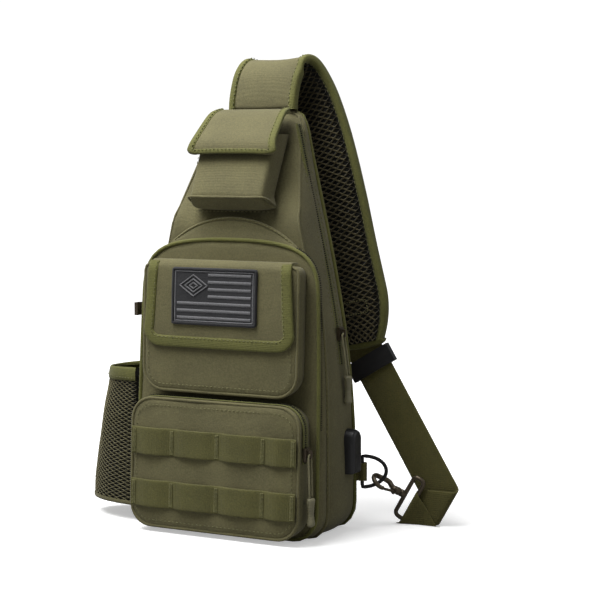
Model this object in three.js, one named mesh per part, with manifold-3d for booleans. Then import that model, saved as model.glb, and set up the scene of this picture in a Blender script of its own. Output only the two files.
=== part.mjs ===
// Tactical sling bag: body with stacked pockets, padded shoulder strap, snap hook and D-ring.
// Millimetres, +Z up, front faces -Y, +X is the wearer-side hook. Origin: centre of the base, on the floor.
import * as THREE from 'three';
import { mergeVertices } from 'three/addons/utils/BufferGeometryUtils.js';
import Module from 'manifold-3d';

const wasm = await Module();
wasm.setup();

// ---- driving dimensions -------------------------------------------------------------------------
const GAP = 0.3;                 // clearance between touching pieces
const WALL = 1.6;                // thickness of a lined fabric wall
const BODY_HALF = 96;            // half width of the base
const BODY_TOP = 385;            // height of the body
const CORNER = 24;               // base corner radius
const BACK_Y = 48;               // outer face of the back mesh
const BACK_PAD = 5;              // foam back panel
const SEAM_Y = -11;              // plane between main and front compartments
const SLOPE_Z = 288;             // height where the main front panel starts to lean back
const TOP_Y = 35;                // front face of the body at the top
const LEAN = 0.045;              // lean of the front face, mm back per mm up
const FRONT_Y = -30;             // front face of the front compartment at the floor
const FRONT_TOP = 268;           // top of the front compartment face
const ARCH_TOP = 287;            // top of its rear arch

const MOLLE = { half: 86, z0: 6, z1: 123, radius: 20, depth: 22 };
const WEBBING_ROW = { height: 25.4, thick: 1.5, half: 85, centres: { upper: 84, lower: 36 } };
const POCKET = { half: 79, z0: 131, z1: 244, radius: 20, depth: 15 };
const FLAP = { half: 76, z0: 172, z1: 250, radius: 14, thick: 1.8, binding: 9 };
const PATCH = { width: 85, height: 49, x: -3, z: 218, thick: 2 };
const UPPER = { half: 40, frontHalf: 37, flapHalf: 44 };
const BOTTLE = { x: -98.5, y: 10, halfY: 33, reachLow: 66, reachTop: 46, z0: 14, z1: 146 };
const STRAP = { width: 70, thick: 8, meshThick: 1.6, webWidth: 38, webThick: 1.8 };
const HINGE_SPHERE = 62;         // the strap's root is the part within this reach of its top anchor
const RING = { x: 103, y: 49, z: 53, half: 14.5, reach: 22, wire: 1.7, turn: 34 };

// ---- materials ----------------------------------------------------------------------------------
function cloth(color) {
  return new THREE.MeshStandardMaterial({ color, roughness: 0.9, metalness: 0 });
}
const OLIVE = cloth(0x6b6a42);
const BINDING = cloth(0x7f7c33);
const WEBBING = cloth(0x5f5a26);
const MESH = cloth(0x4a4728);
const BLACK = new THREE.MeshStandardMaterial({ color: 0x151515, roughness: 0.45, metalness: 0 });
const BRONZE = new THREE.MeshStandardMaterial({ color: 0x4a443a, roughness: 0.4, metalness: 1 });
const TOGGLE = new THREE.MeshStandardMaterial({ color: 0x77744f, roughness: 0.6, metalness: 0 });
const PATCH_GREY = cloth(0x3b3b3d);

const bag = new THREE.Group();

function add(name, geometry, material) {
  const mesh = new THREE.Mesh(geometry, material);
  mesh.name = name;
  bag.add(mesh);
  return mesh;
}

// ---- solids -------------------------------------------------------------------------------------
function toSolid(geometry) {
  const bare = geometry.clone();
  bare.deleteAttribute('normal');
  bare.deleteAttribute('uv');
  const merged = mergeVertices(bare, 1e-4);
  const vertProperties = Float32Array.from(merged.attributes.position.array);
  const triVerts = Uint32Array.from(merged.index.array);
  return new wasm.Manifold(new wasm.Mesh({ numProp: 3, vertProperties, triVerts }));
}

function toGeometry(solid) {
  const mesh = solid.getMesh();
  const geometry = new THREE.BufferGeometry();
  const points = new Float32Array((mesh.vertProperties.length / mesh.numProp) * 3);
  for (let i = 0; i < points.length / 3; i += 1) {
    for (let k = 0; k < 3; k += 1) {
      points[3 * i + k] = mesh.vertProperties[mesh.numProp * i + k];
    }
  }
  geometry.setAttribute('position', new THREE.BufferAttribute(points, 3));
  geometry.setIndex(new THREE.BufferAttribute(Uint32Array.from(mesh.triVerts), 1));
  return geometry;
}

// A plate whose outline lies in the XZ plane, from yFront to yBack.
function plate(outline, yFront, yBack, hole) {
  const shape = new THREE.Shape(outline);
  if (hole) {
    shape.holes.push(new THREE.Path(hole));
  }
  const geometry = new THREE.ExtrudeGeometry(shape, { depth: yBack - yFront, bevelEnabled: false, steps: 1 });
  geometry.rotateX(Math.PI / 2);
  geometry.translate(0, yBack, 0);
  return geometry;
}

// A prism whose profile lies in the YZ plane, from x = -half to +half.
function prism(profile, half) {
  const shape = new THREE.Shape(profile.map(([y, z]) => new THREE.Vector2(y, z)));
  const geometry = new THREE.ExtrudeGeometry(shape, { depth: 2 * half, bevelEnabled: false, steps: 1 });
  geometry.translate(0, 0, -half);
  geometry.applyMatrix4(new THREE.Matrix4().makeBasis(
    new THREE.Vector3(0, 1, 0), new THREE.Vector3(0, 0, 1), new THREE.Vector3(1, 0, 0)));
  return geometry;
}

function box(x0, x1, y0, y1, z0, z1) {
  const geometry = new THREE.BoxGeometry(x1 - x0, y1 - y0, z1 - z0);
  geometry.translate((x0 + x1) / 2, (y0 + y1) / 2, (z0 + z1) / 2);
  return geometry;
}

// A closed band: a four-cornered section carried once round a loop.
function band(loops) {
  const count = loops[0].length;
  const positions = [];
  const index = [];
  for (let i = 0; i < count; i += 1) {
    for (const loop of loops) {
      positions.push(loop[i].x, loop[i].y, loop[i].z);
    }
  }
  const sides = loops.length;
  for (let i = 0; i < count; i += 1) {
    const j = (i + 1) % count;
    for (let k = 0; k < sides; k += 1) {
      const m = (k + 1) % sides;
      index.push(i * sides + k, j * sides + k, i * sides + m);
      index.push(j * sides + k, j * sides + m, i * sides + m);
    }
  }
  const geometry = new THREE.BufferGeometry();
  geometry.setAttribute('position', new THREE.Float32BufferAttribute(positions, 3));
  geometry.setIndex(index);
  return outward(geometry);
}

// Turns every face over when the enclosed volume comes out negative.
function outward(geometry) {
  const p = geometry.attributes.position;
  const index = geometry.index.array;
  const corner = [new THREE.Vector3(), new THREE.Vector3(), new THREE.Vector3()];
  let volume = 0;
  for (let i = 0; i < index.length; i += 3) {
    for (let k = 0; k < 3; k += 1) {
      corner[k].fromBufferAttribute(p, index[i + k]);
    }
    volume += corner[0].dot(corner[1].clone().cross(corner[2]));
  }
  if (volume < 0) {
    for (let i = 0; i < index.length; i += 3) {
      const swap = index[i];
      index[i] = index[i + 1];
      index[i + 1] = swap;
    }
  }
  return geometry;
}

// A ribbon of rectangular section: stations carry a centre, a width direction, a width and a thickness.
function ribbon(stations) {
  const positions = [];
  const index = [];
  for (const s of stations) {
    const across = s.across.clone().multiplyScalar(s.width / 2);
    const out = s.across.clone().cross(s.along).normalize().multiplyScalar(s.thick / 2);
    for (const [a, b] of [[-1, -1], [1, -1], [1, 1], [-1, 1]]) {
      const v = s.centre.clone().addScaledVector(across, a).addScaledVector(out, b);
      positions.push(v.x, v.y, v.z);
    }
  }
  for (let i = 0; i + 1 < stations.length; i += 1) {
    for (let k = 0; k < 4; k += 1) {
      const m = (k + 1) % 4;
      index.push(4 * i + k, 4 * i + m, 4 * i + 4 + k);
      index.push(4 * i + m, 4 * i + 4 + m, 4 * i + 4 + k);
    }
  }
  const last = 4 * (stations.length - 1);
  index.push(0, 2, 1, 0, 3, 2);
  index.push(last, last + 1, last + 2, last, last + 2, last + 3);
  const geometry = new THREE.BufferGeometry();
  geometry.setAttribute('position', new THREE.Float32BufferAttribute(positions, 3));
  geometry.setIndex(index);
  return outward(geometry);
}

// A round wire bent into a closed loop of points that lie in one plane with the given normal.
function wireLoop(points, normal, radius, sides = 8) {
  const loops = [];
  for (let k = 0; k < sides; k += 1) {
    const angle = (2 * Math.PI * k) / sides;
    loops.push(points.map((p, i) => {
      const next = points[(i + 1) % points.length];
      const before = points[(i + points.length - 1) % points.length];
      const side = next.clone().sub(before).normalize().cross(normal).normalize();
      return p.clone()
        .addScaledVector(side, radius * Math.cos(angle))
        .addScaledVector(normal, radius * Math.sin(angle));
    }));
  }
  return band(loops);
}

// A tube along an open run of points.
function tube(points, radius, sides, steps) {
  const section = new THREE.Shape();
  section.absarc(0, 0, radius, 0, 2 * Math.PI);
  return new THREE.ExtrudeGeometry(section, {
    extrudePath: new THREE.CatmullRomCurve3(points), steps, curveSegments: sides / 2, bevelEnabled: false });
}

function rod(from, to, radius, sides = 12) {
  const geometry = new THREE.CylinderGeometry(radius, radius, from.distanceTo(to), sides);
  const turn = new THREE.Quaternion().setFromUnitVectors(
    new THREE.Vector3(0, 1, 0), to.clone().sub(from).normalize());
  geometry.applyQuaternion(turn);
  const middle = from.clone().add(to).multiplyScalar(0.5);
  geometry.translate(middle.x, middle.y, middle.z);
  return geometry;
}

// ---- outlines in the XZ plane -------------------------------------------------------------------
function mirrored(right) {
  const left = right.filter((p) => p.x > 1e-6).map((p) => new THREE.Vector2(-p.x, p.y)).reverse();
  return right.concat(left);
}

// The right half of an outline runs up from the base to the top centre, and is mirrored.
function halfOutline(draw, divisions = 5) {
  const path = new THREE.Path();
  draw(path);
  return mirrored(path.getPoints(divisions));
}

const bodyOutline = halfOutline((p) => {
  p.moveTo(0, 0);
  p.lineTo(BODY_HALF - CORNER, 0);
  p.absarc(BODY_HALF - CORNER, CORNER, CORNER, -Math.PI / 2, 0);
  p.bezierCurveTo(BODY_HALF, 165, 80, 222, 51, 350);
  p.bezierCurveTo(47, 370, 45, BODY_TOP, 34, BODY_TOP);
  p.lineTo(0, BODY_TOP);
});

const archOutline = halfOutline((p) => {
  p.moveTo(0, 0);
  p.lineTo(BODY_HALF - CORNER, 0);
  p.absarc(BODY_HALF - CORNER, CORNER, CORNER, -Math.PI / 2, 0);
  p.bezierCurveTo(BODY_HALF + 1, 110, BODY_HALF, 170, 88, 215);
  p.bezierCurveTo(82, 262, 40, ARCH_TOP, 0, ARCH_TOP);
});

const frontOutline = halfOutline((p) => {
  p.moveTo(0, 2);
  p.lineTo(BODY_HALF - CORNER - 3, 2);
  p.absarc(BODY_HALF - CORNER - 3, CORNER + 2, CORNER, -Math.PI / 2, 0);
  p.bezierCurveTo(BODY_HALF - 3, 110, BODY_HALF - 4, 170, 90, 215);
  p.bezierCurveTo(90, 256, 76, FRONT_TOP, 0, FRONT_TOP);
});

function roundedBox(half, z0, z1, radius, topRadius = radius) {
  return halfOutline((p) => {
    p.moveTo(0, z0);
    p.absarc(half - radius, z0 + radius, radius, -Math.PI / 2, 0);
    if (topRadius > 0) {
      p.absarc(half - topRadius, z1 - topRadius, topRadius, 0, Math.PI / 2);
    } else {
      p.lineTo(half, z1);
    }
    p.lineTo(0, z1);
  }, 4);
}

// The outline moved inwards by a distance, along the mean normal of each point's two edges.
function inset(outline, distance) {
  return outline.map((p, i) => {
    const before = outline[(i + outline.length - 1) % outline.length];
    const next = outline[(i + 1) % outline.length];
    const a = p.clone().sub(before).normalize();
    const b = next.clone().sub(p).normalize();
    const normal = new THREE.Vector2(-(a.y + b.y), a.x + b.x).normalize();
    const stretch = Math.max(0.5, Math.sqrt((1 + a.dot(b)) / 2));
    return p.clone().addScaledVector(normal, distance / stretch);
  });
}

function lift(outline, y, lean = 0) {
  return outline.map((p) => new THREE.Vector3(p.x, y + lean * p.y, p.y));
}

// Everything on the front compartment leans back with its face.
function leaned(geometry) {
  const p = geometry.attributes.position;
  for (let i = 0; i < p.count; i += 1) {
    p.setY(i, p.getY(i) + LEAN * p.getZ(i));
  }
  return geometry;
}

function addLeaned(name, geometry, material) {
  return add(name, leaned(geometry), material);
}

// ---- main compartment ---------------------------------------------------------------------------
const MESH_THICK = 1.4;
const padBack = BACK_Y - MESH_THICK - GAP;
const padFront = padBack - BACK_PAD;
add('back_mesh', plate(inset(bodyOutline, 6), padBack + GAP, BACK_Y), MESH);
add('back_panel', plate(bodyOutline, padFront, padBack), OLIVE);

const panelFace = SEAM_Y + GAP + WALL;
const slopeRun = (TOP_Y - SEAM_Y) / (BODY_TOP - SLOPE_Z);
function panelFaceAt(z) {
  return panelFace + Math.max(0, z - SLOPE_Z) * slopeRun;
}
const topFace = panelFaceAt(BODY_TOP + 5);
const panelProfile = [
  [panelFace, -5], [panelFace + WALL, -5], [panelFace + WALL, SLOPE_Z - 0.4],
  [topFace + WALL, BODY_TOP + 5], [topFace, BODY_TOP + 5], [panelFace, SLOPE_Z]];
const bodyColumn = toSolid(plate(bodyOutline, -60, 60));
const mainPanel = toSolid(prism(panelProfile, 120)).intersect(bodyColumn);
add('main_front_panel', toGeometry(mainPanel), OLIVE);

const gussetRing = toSolid(plate(bodyOutline, -40, padFront - GAP, inset(bodyOutline, WALL)));
const aheadOfPanel = [
  [-80, -10], [panelFace + WALL + GAP, -10], [panelFace + WALL + GAP, SLOPE_Z - 0.5],
  [topFace + WALL + GAP + 0.2, BODY_TOP + 5], [-80, BODY_TOP + 5]];
const rearGusset = gussetRing.subtract(toSolid(prism(aheadOfPanel, 120)));
add('rear_gusset', toGeometry(rearGusset), OLIVE);

// The main zip runs down both sides of the gusset from the top to just below its slider.
const MAIN_ZIP = { y: 27, half: 5, low: 150 };
const zipRing = toSolid(plate(inset(bodyOutline, -1.1), MAIN_ZIP.y - MAIN_ZIP.half,
  MAIN_ZIP.y + MAIN_ZIP.half, inset(bodyOutline, -0.3)));
const belowZip = toSolid(box(-120, 120, -60, 60, -20, MAIN_ZIP.low));
const strapSeat = toSolid(box(-60, 60, -60, 60, BODY_TOP - 6, BODY_TOP + 10));
for (const tape of zipRing.subtract(belowZip).subtract(strapSeat).decompose()) {
  const side = tape.boundingBox().max[0] > 0 ? 'right' : 'left';
  add(`main_zip_tape_${side}`, toGeometry(tape), BINDING);
}

// ---- front compartment --------------------------------------------------------------------------
add('divider_panel', plate(archOutline, SEAM_Y - WALL, SEAM_Y), OLIVE);
const gussetBack = SEAM_Y - WALL - GAP;
const gussetFront = FRONT_Y + WALL + GAP;
add('front_gusset', band([
  lift(archOutline, gussetBack),
  lift(frontOutline, gussetFront, LEAN),
  lift(inset(frontOutline, WALL), gussetFront, LEAN),
  lift(inset(archOutline, WALL), gussetBack)]), OLIVE);
addLeaned('front_panel', plate(frontOutline, FRONT_Y, FRONT_Y + WALL), OLIVE);
const frontPiping = plate(inset(frontOutline, -1.9), FRONT_Y - 0.4, FRONT_Y + 1.5, inset(frontOutline, -0.4));
addLeaned('front_zip_tape', frontPiping, BINDING);

// ---- pockets on the front face ------------------------------------------------------------------
function facePocket(name, outline, depth) {
  const back = FRONT_Y - GAP;
  addLeaned(`${name}_gusset`, plate(outline, back - depth, back, inset(outline, WALL)), OLIVE);
  const face = back - depth - GAP;
  addLeaned(`${name}_panel`, plate(outline, face - WALL, face), OLIVE);
  return face - WALL;
}

const molleOutline = roundedBox(MOLLE.half, MOLLE.z0, MOLLE.z1, MOLLE.radius);
const molleFace = facePocket('webbing_pocket', molleOutline, MOLLE.depth);
for (const [row, centre] of Object.entries(WEBBING_ROW.centres)) {
  addLeaned(`webbing_row_${row}`, box(-WEBBING_ROW.half, WEBBING_ROW.half,
    molleFace - GAP - WEBBING_ROW.thick, molleFace - GAP,
    centre - WEBBING_ROW.height / 2, centre + WEBBING_ROW.height / 2), WEBBING);
}
const MOLLE_ZIP_Y = FRONT_Y - GAP - MOLLE.depth + 9;
const molleZip = toSolid(plate(inset(molleOutline, -1.1), MOLLE_ZIP_Y - 4, MOLLE_ZIP_Y + 4,
  inset(molleOutline, -0.3))).subtract(toSolid(box(-120, 120, -90, 20, -20, 70)));
addLeaned('webbing_pocket_zip', toGeometry(molleZip), BINDING);

const pocketOutline = roundedBox(POCKET.half, POCKET.z0, POCKET.z1, POCKET.radius, 6);
const pocketFace = facePocket('flap_pocket', pocketOutline, POCKET.depth);

const loopFace = pocketFace - GAP - 0.5;
const hookFace = loopFace - GAP - 0.5;
const flapBack = hookFace - GAP;
const flapFace = flapBack - FLAP.thick;
addLeaned('pocket_loop_strip', box(-55, 55, loopFace, loopFace + 0.5, 182, 202), BLACK);
addLeaned('pocket_hook_strip', box(-55, 55, hookFace, hookFace + 0.5, 182, 202), BLACK);
const flapProfile = [
  [FRONT_Y - 0.8, FLAP.z1], [flapFace + 3, FLAP.z1], [flapFace, FLAP.z1 - 3], [flapFace, FLAP.z0],
  [flapBack, FLAP.z0], [flapBack, FLAP.z1 - 3.5], [flapBack + 1.2, FLAP.z1 - FLAP.thick],
  [FRONT_Y - 0.8, FLAP.z1 - FLAP.thick]];
const flapOutline = roundedBox(FLAP.half, FLAP.z0, FLAP.z1, FLAP.radius, 0);
const flapSheet = toSolid(prism(flapProfile, 100)).intersect(toSolid(plate(flapOutline, -80, 0)));
addLeaned('pocket_flap', toGeometry(flapSheet), OLIVE);
const bindingBack = flapFace - GAP;
const flapInner = roundedBox(FLAP.half - FLAP.binding, FLAP.z0 + FLAP.binding, FLAP.z1 + 20, FLAP.radius - 5, 0);
const bindingTop = toSolid(box(-120, 120, -90, 0, FLAP.z1 - 4, FLAP.z1 + 40));
const flapBinding = toSolid(plate(flapOutline, bindingBack - 0.8, bindingBack))
  .subtract(toSolid(plate(flapInner, -90, 0))).subtract(bindingTop);
addLeaned('pocket_flap_binding', toGeometry(flapBinding), BINDING);
addLeaned('patch', box(PATCH.x - PATCH.width / 2, PATCH.x + PATCH.width / 2,
  flapFace - GAP - PATCH.thick, flapFace - GAP,
  PATCH.z - PATCH.height / 2, PATCH.z + PATCH.height / 2), PATCH_GREY);

// ---- upper pocket -------------------------------------------------------------------------------
// Side profile of the wedge: lower edge on the panel, front lower edge, then up the leaning front face.
const WEDGE = { foot: [-13, 294], toe: [-25, 306], brow: [-2, 354], crown: [8, 364] };
const panelGap = 0.5;
const wedgeBack = [
  [panelFaceAt(WEDGE.crown[1]) - panelGap, WEDGE.crown[1]],
  [panelFaceAt(WEDGE.foot[1]) - panelGap, WEDGE.foot[1]]];
const wedge = toSolid(prism([WEDGE.foot, WEDGE.toe, WEDGE.brow, WEDGE.crown, ...wedgeBack].reverse(), UPPER.half));
const faceRun = (WEDGE.brow[0] - WEDGE.toe[0]) / (WEDGE.brow[1] - WEDGE.toe[1]);
function wedgeFaceAt(z) {
  return WEDGE.toe[0] + (z - WEDGE.toe[1]) * faceRun;
}
const FRONT_WALL = 1.9;
const wedgeHollow = toSolid(prism([
  [60, WEDGE.foot[1] + WALL], [60, 380], [wedgeFaceAt(380) + FRONT_WALL, 380],
  [wedgeFaceAt(WEDGE.toe[1] + 2) + FRONT_WALL, WEDGE.toe[1] + 2],
  [WEDGE.foot[0] + 1, WEDGE.foot[1] + WALL + 0.5]], UPPER.half - WALL));
const wedgeShell = wedge.subtract(wedgeHollow);
function slabAhead(low, distance) {
  return toSolid(prism([
    [wedgeFaceAt(low) + distance, low], [wedgeFaceAt(380) + distance, 380], [-60, 380], [-60, low]], 60));
}
add('upper_pocket_panel', toGeometry(wedgeShell.intersect(slabAhead(WEDGE.toe[1] + 1, FRONT_WALL))), OLIVE);
add('upper_pocket_gusset', toGeometry(wedgeShell.subtract(slabAhead(WEDGE.toe[1] + 0.6, FRONT_WALL + GAP))), OLIVE);

// The flap's inner face, from its seam at the top of the body to its lip, as [y, z].
const upperFlapLine = [[31, 385.7], [14, 379], [-10, 357], [-13, 347]].map(([y, z]) => new THREE.Vector2(y, z));
function offsetLine(line, distance) {
  return line.map((p, i) => {
    const a = p.clone().sub(line[Math.max(0, i - 1)]).normalize();
    const b = line[Math.min(line.length - 1, i + 1)].clone().sub(p).normalize();
    const along = a.clone().add(b).normalize();
    const stretch = i > 0 && i < line.length - 1 ? Math.sqrt((1 + a.dot(b)) / 2) : 1;
    return p.clone().addScaledVector(new THREE.Vector2(along.y, -along.x), distance / stretch);
  });
}
function upperFlapProfile(low, high) {
  const near = offsetLine(upperFlapLine, low);
  const far = offsetLine(upperFlapLine, high).reverse();
  return near.concat(far).map((p) => [p.x, p.y]);
}
const upperOutline = halfOutline((p) => {
  p.moveTo(0, 346);
  p.lineTo(UPPER.flapHalf - 8, 346);
  p.quadraticCurveTo(UPPER.flapHalf, 346, UPPER.flapHalf, 354);
  p.lineTo(36, 388);
  p.lineTo(0, 388);
}, 4);
const upperFlap = toSolid(prism(upperFlapProfile(0, -1.7), 60)).intersect(toSolid(plate(upperOutline, -60, 60)));
add('upper_flap', toGeometry(upperFlap), OLIVE);
const upperInner = upperOutline.map((p) => new THREE.Vector2(p.x * 0.83, p.y < 360 ? p.y + 8 : p.y + 30));
const upperBinding = toSolid(prism(upperFlapProfile(-2, -2.8), 60))
  .intersect(toSolid(plate(upperOutline, -60, 60)))
  .subtract(toSolid(plate(upperInner, -80, 80)));
add('upper_flap_binding', toGeometry(upperBinding), BINDING);
function fastener(low, high) {
  return prism([
    [wedgeFaceAt(348) - high, 348], [wedgeFaceAt(348) - low, 348],
    [wedgeFaceAt(353) - low, 353], [wedgeFaceAt(353) - high, 353]], 22);
}
add('upper_loop_strip', fastener(0.4, 0.9), BLACK);
add('upper_hook_strip', fastener(1.3, 1.8), BLACK);

// ---- bottle pocket ------------------------------------------------------------------------------
function bottleLoop(reach, halfY, z, shrink = 0) {
  const points = [];
  const arc = 14;
  for (let i = 0; i <= arc; i += 1) {
    const angle = Math.PI / 2 + (Math.PI * i) / arc;
    points.push(new THREE.Vector3(
      BOTTLE.x - shrink + (reach - 2 * shrink) * Math.cos(angle),
      BOTTLE.y + (halfY - shrink) * Math.sin(angle), z));
  }
  return points;
}
const sleeveTop = BOTTLE.z1 - 12;
add('bottle_sleeve', band([
  bottleLoop(BOTTLE.reachLow, BOTTLE.halfY, BOTTLE.z0 + 2),
  bottleLoop(BOTTLE.reachTop, BOTTLE.halfY - 1, sleeveTop),
  bottleLoop(BOTTLE.reachTop, BOTTLE.halfY - 1, sleeveTop, 1.3),
  bottleLoop(BOTTLE.reachLow, BOTTLE.halfY, BOTTLE.z0 + 2, 1.3)]), MESH);
add('bottle_hem', band([
  bottleLoop(BOTTLE.reachTop, BOTTLE.halfY - 1, sleeveTop + GAP),
  bottleLoop(BOTTLE.reachTop - 1, BOTTLE.halfY - 1, BOTTLE.z1),
  bottleLoop(BOTTLE.reachTop - 1, BOTTLE.halfY - 1, BOTTLE.z1, 1.8),
  bottleLoop(BOTTLE.reachTop, BOTTLE.halfY - 1, sleeveTop + GAP, 1.8)]), BINDING);
const baseShape = new THREE.Shape(
  bottleLoop(BOTTLE.reachLow, BOTTLE.halfY, 0).map((p) => new THREE.Vector2(p.x, p.y)));
const bottleBase = new THREE.ExtrudeGeometry(baseShape, { depth: 1.7, bevelEnabled: false });
bottleBase.translate(0, 0, BOTTLE.z0);
add('bottle_base', bottleBase, OLIVE);

// ---- power port ---------------------------------------------------------------------------------
const PORT = { x: 97.2, reach: 9.5, y: 31, width: 20, z: 75, height: 41 };
const port = box(PORT.x, PORT.x + PORT.reach, PORT.y - PORT.width / 2, PORT.y + PORT.width / 2,
  PORT.z - PORT.height / 2, PORT.z + PORT.height / 2);
const portMouth = box(PORT.x + 2, PORT.x + PORT.reach - 1.2, PORT.y - 7, PORT.y + 7,
  PORT.z - PORT.height / 2 - 1, PORT.z - PORT.height / 2 + 14);
add('port_housing', toGeometry(toSolid(port).subtract(toSolid(portMouth))), BLACK);
const socketFloor = PORT.z - PORT.height / 2;
const socketOuter = box(PORT.x + 2.4, PORT.x + PORT.reach - 1.6, PORT.y - 6.6, PORT.y + 6.6,
  socketFloor + 0.6, socketFloor + 13);
const socketInner = box(PORT.x + 2.9, PORT.x + PORT.reach - 2.1, PORT.y - 6.1, PORT.y + 6.1,
  socketFloor - 2, socketFloor + 12);
add('socket_shell', toGeometry(toSolid(socketOuter).subtract(toSolid(socketInner))), BRONZE);
add('socket_tongue', box(PORT.x + 3.3, PORT.x + 4.9, PORT.y - 5, PORT.y + 5,
  socketFloor + 2.5, socketFloor + 11.6), BLACK);

// ---- zip sliders, pull cords and toggles --------------------------------------------------------
// A slider sits on a side face at x, its cord hangs down the outside, swinging out by flare, to a toggle.
function sliderSet(name, x, y, z, flare) {
  const slider = toSolid(box(x, x + 3, y - 4.5, y + 4.5, z - 6, z + 6));
  const bridge = toSolid(box(x + 2.9, x + 7, y - 1.2, y + 1.2, z - 3, z + 4));
  const eye = toSolid(box(x + 3.8, x + 6, y - 4, y + 4, z - 2.2, z + 1.9));
  add(`${name}_slider`, toGeometry(slider.add(bridge).subtract(eye)), BRONZE);
  const half = 2.6;
  const run = 38;
  const cordRadius = 0.85;
  const mid = x + 4.9;
  const cordPoints = [
    new THREE.Vector3(mid + flare, y - half, z - run),
    new THREE.Vector3(mid + flare / 2, y - half, z - run * 0.5),
    new THREE.Vector3(mid, y - half, z - 5),
    new THREE.Vector3(mid, y - 2.2, z - 1),
    new THREE.Vector3(mid, y, z + 0.1),
    new THREE.Vector3(mid, y + 2.2, z - 1),
    new THREE.Vector3(mid, y + half, z - 5),
    new THREE.Vector3(mid + flare / 2, y + half, z - run * 0.5),
    new THREE.Vector3(mid + flare, y + half, z - run)];
  add(`${name}_pull_cord`, tube(cordPoints, cordRadius, 8, 40), TOGGLE);
  const toggle = new THREE.LatheGeometry([
    new THREE.Vector2(0, -26), new THREE.Vector2(3.2, -26), new THREE.Vector2(4.6, -22),
    new THREE.Vector2(3.9, -10), new THREE.Vector2(4.4, -1.5), new THREE.Vector2(3.6, 0),
    new THREE.Vector2(0, 0)], 12);
  toggle.rotateX(Math.PI / 2);
  toggle.translate(mid + flare, y, z - run - GAP);
  add(`${name}_toggle`, toggle, TOGGLE);
}
sliderSet('main_zip', 88.5, MAIN_ZIP.y, 183, 4.7);
sliderSet('webbing_pocket_zip', 87.6, MOLLE_ZIP_Y + LEAN * 82, 82, 1);
add('front_zip_slider', box(-98.6, -95.2, -24.4, -16.4, 196, 208), BRONZE);

// ---- shoulder strap -----------------------------------------------------------------------------
const X_AXIS = new THREE.Vector3(1, 0, 0);
const padRoute = new THREE.CatmullRomCurve3([
  new THREE.Vector3(3, 41, 386.5), new THREE.Vector3(3, 43, 400), new THREE.Vector3(4, 50, 419),
  new THREE.Vector3(7, 62, 430), new THREE.Vector3(13, 74, 423), new THREE.Vector3(22, 81, 404),
  new THREE.Vector3(32, 84, 378), new THREE.Vector3(42, 86, 345), new THREE.Vector3(53, 88, 300),
  new THREE.Vector3(63, 89, 255), new THREE.Vector3(74, 90, 209), new THREE.Vector3(83, 91, 168)]);
function stationsAlong(curve, count, widthAt, thick, offset = 0) {
  const stations = [];
  for (let i = 0; i <= count; i += 1) {
    const t = i / count;
    const along = curve.getTangentAt(t);
    const across = X_AXIS.clone().addScaledVector(along, -X_AXIS.dot(along)).normalize();
    const out = across.clone().cross(along).normalize();
    stations.push({
      centre: curve.getPointAt(t).addScaledVector(out, offset), along, across, width: widthAt(t), thick });
  }
  return stations;
}
// The pad keeps its width and rounds off over its last stretch.
function padWidth(t) {
  return t < 0.86 ? STRAP.width : STRAP.width - 26 * ((t - 0.86) / 0.14) ** 2;
}
const anchor = new THREE.Vector3(5, 46, 390);
function ball(radius) {
  const geometry = new THREE.SphereGeometry(radius, 24, 16);
  geometry.translate(anchor.x, anchor.y, anchor.z);
  return toSolid(geometry);
}
const padSolid = toSolid(ribbon(stationsAlong(padRoute, 40, padWidth, STRAP.thick)));
add('strap_root', toGeometry(padSolid.intersect(ball(HINGE_SPHERE))), OLIVE);
add('strap_pad', toGeometry(padSolid.subtract(ball(HINGE_SPHERE + 0.9))), OLIVE);
const liningOffset = -(STRAP.thick / 2 + GAP + STRAP.meshThick / 2);
function liningWidth(t) {
  return padWidth(t) - 12;
}
const lining = toSolid(ribbon(stationsAlong(padRoute, 40, liningWidth, STRAP.meshThick, liningOffset)));
add('strap_mesh', toGeometry(lining.subtract(ball(HINGE_SPHERE + 6)).subtract(
  toSolid(box(-100, 200, 0, 200, 0, 180)))), MESH);

// The webbing leaves the pad, runs straight down, turns over a slanting fold and ends in a loop round the eye.
const FOLD = { x: 170, y: 88, z: 19.5 };
const EYE = { x: 141, y: 81.5, z: 22.5, half: 20, wire: 2 };
const webStart = new THREE.Vector3(85, 91, 161);
const runDirection = new THREE.Vector3(FOLD.x - webStart.x, 0, FOLD.z - webStart.z).normalize();
// The fold halves the angle between the long run and the level run that leads back to the hook.
const foldAxis = new THREE.Vector3(1, 0, 0).sub(runDirection).normalize();
const foldSide = new THREE.Vector3(foldAxis.z, 0, -foldAxis.x);
function webbingRun(from, to, y, width) {
  const along = new THREE.Vector3(to.x - from.x, 0, to.z - from.z).normalize();
  const across = new THREE.Vector3(-along.z, 0, along.x);
  const station = (p) => ({
    centre: new THREE.Vector3(p.x, y, p.z), along, across, width, thick: STRAP.webThick });
  return toSolid(ribbon([station(from), station(to)]));
}
// Half of a ring along the slanting axis, joining two layers of webbing.
function turnOver(centre, inner, length, toRight) {
  const shape = new THREE.Shape();
  const start = toRight ? -Math.PI / 2 : Math.PI / 2;
  shape.absarc(0, 0, inner + STRAP.webThick, start, start + Math.PI);
  shape.absarc(0, 0, inner, start + Math.PI, start, true);
  const geometry = new THREE.ExtrudeGeometry(shape, { depth: length, bevelEnabled: false, curveSegments: 8 });
  geometry.translate(0, 0, -length / 2);
  const over = new THREE.Vector3().crossVectors(foldAxis, foldSide);
  const basis = new THREE.Matrix4().makeBasis(foldSide, over, foldAxis);
  geometry.applyMatrix4(basis);
  geometry.translate(centre.x, centre.y, centre.z);
  return toSolid(outwardCopy(geometry));
}
function outwardCopy(geometry) {
  geometry.deleteAttribute('normal');
  geometry.deleteAttribute('uv');
  return outward(mergeVertices(geometry, 1e-4));
}
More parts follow.
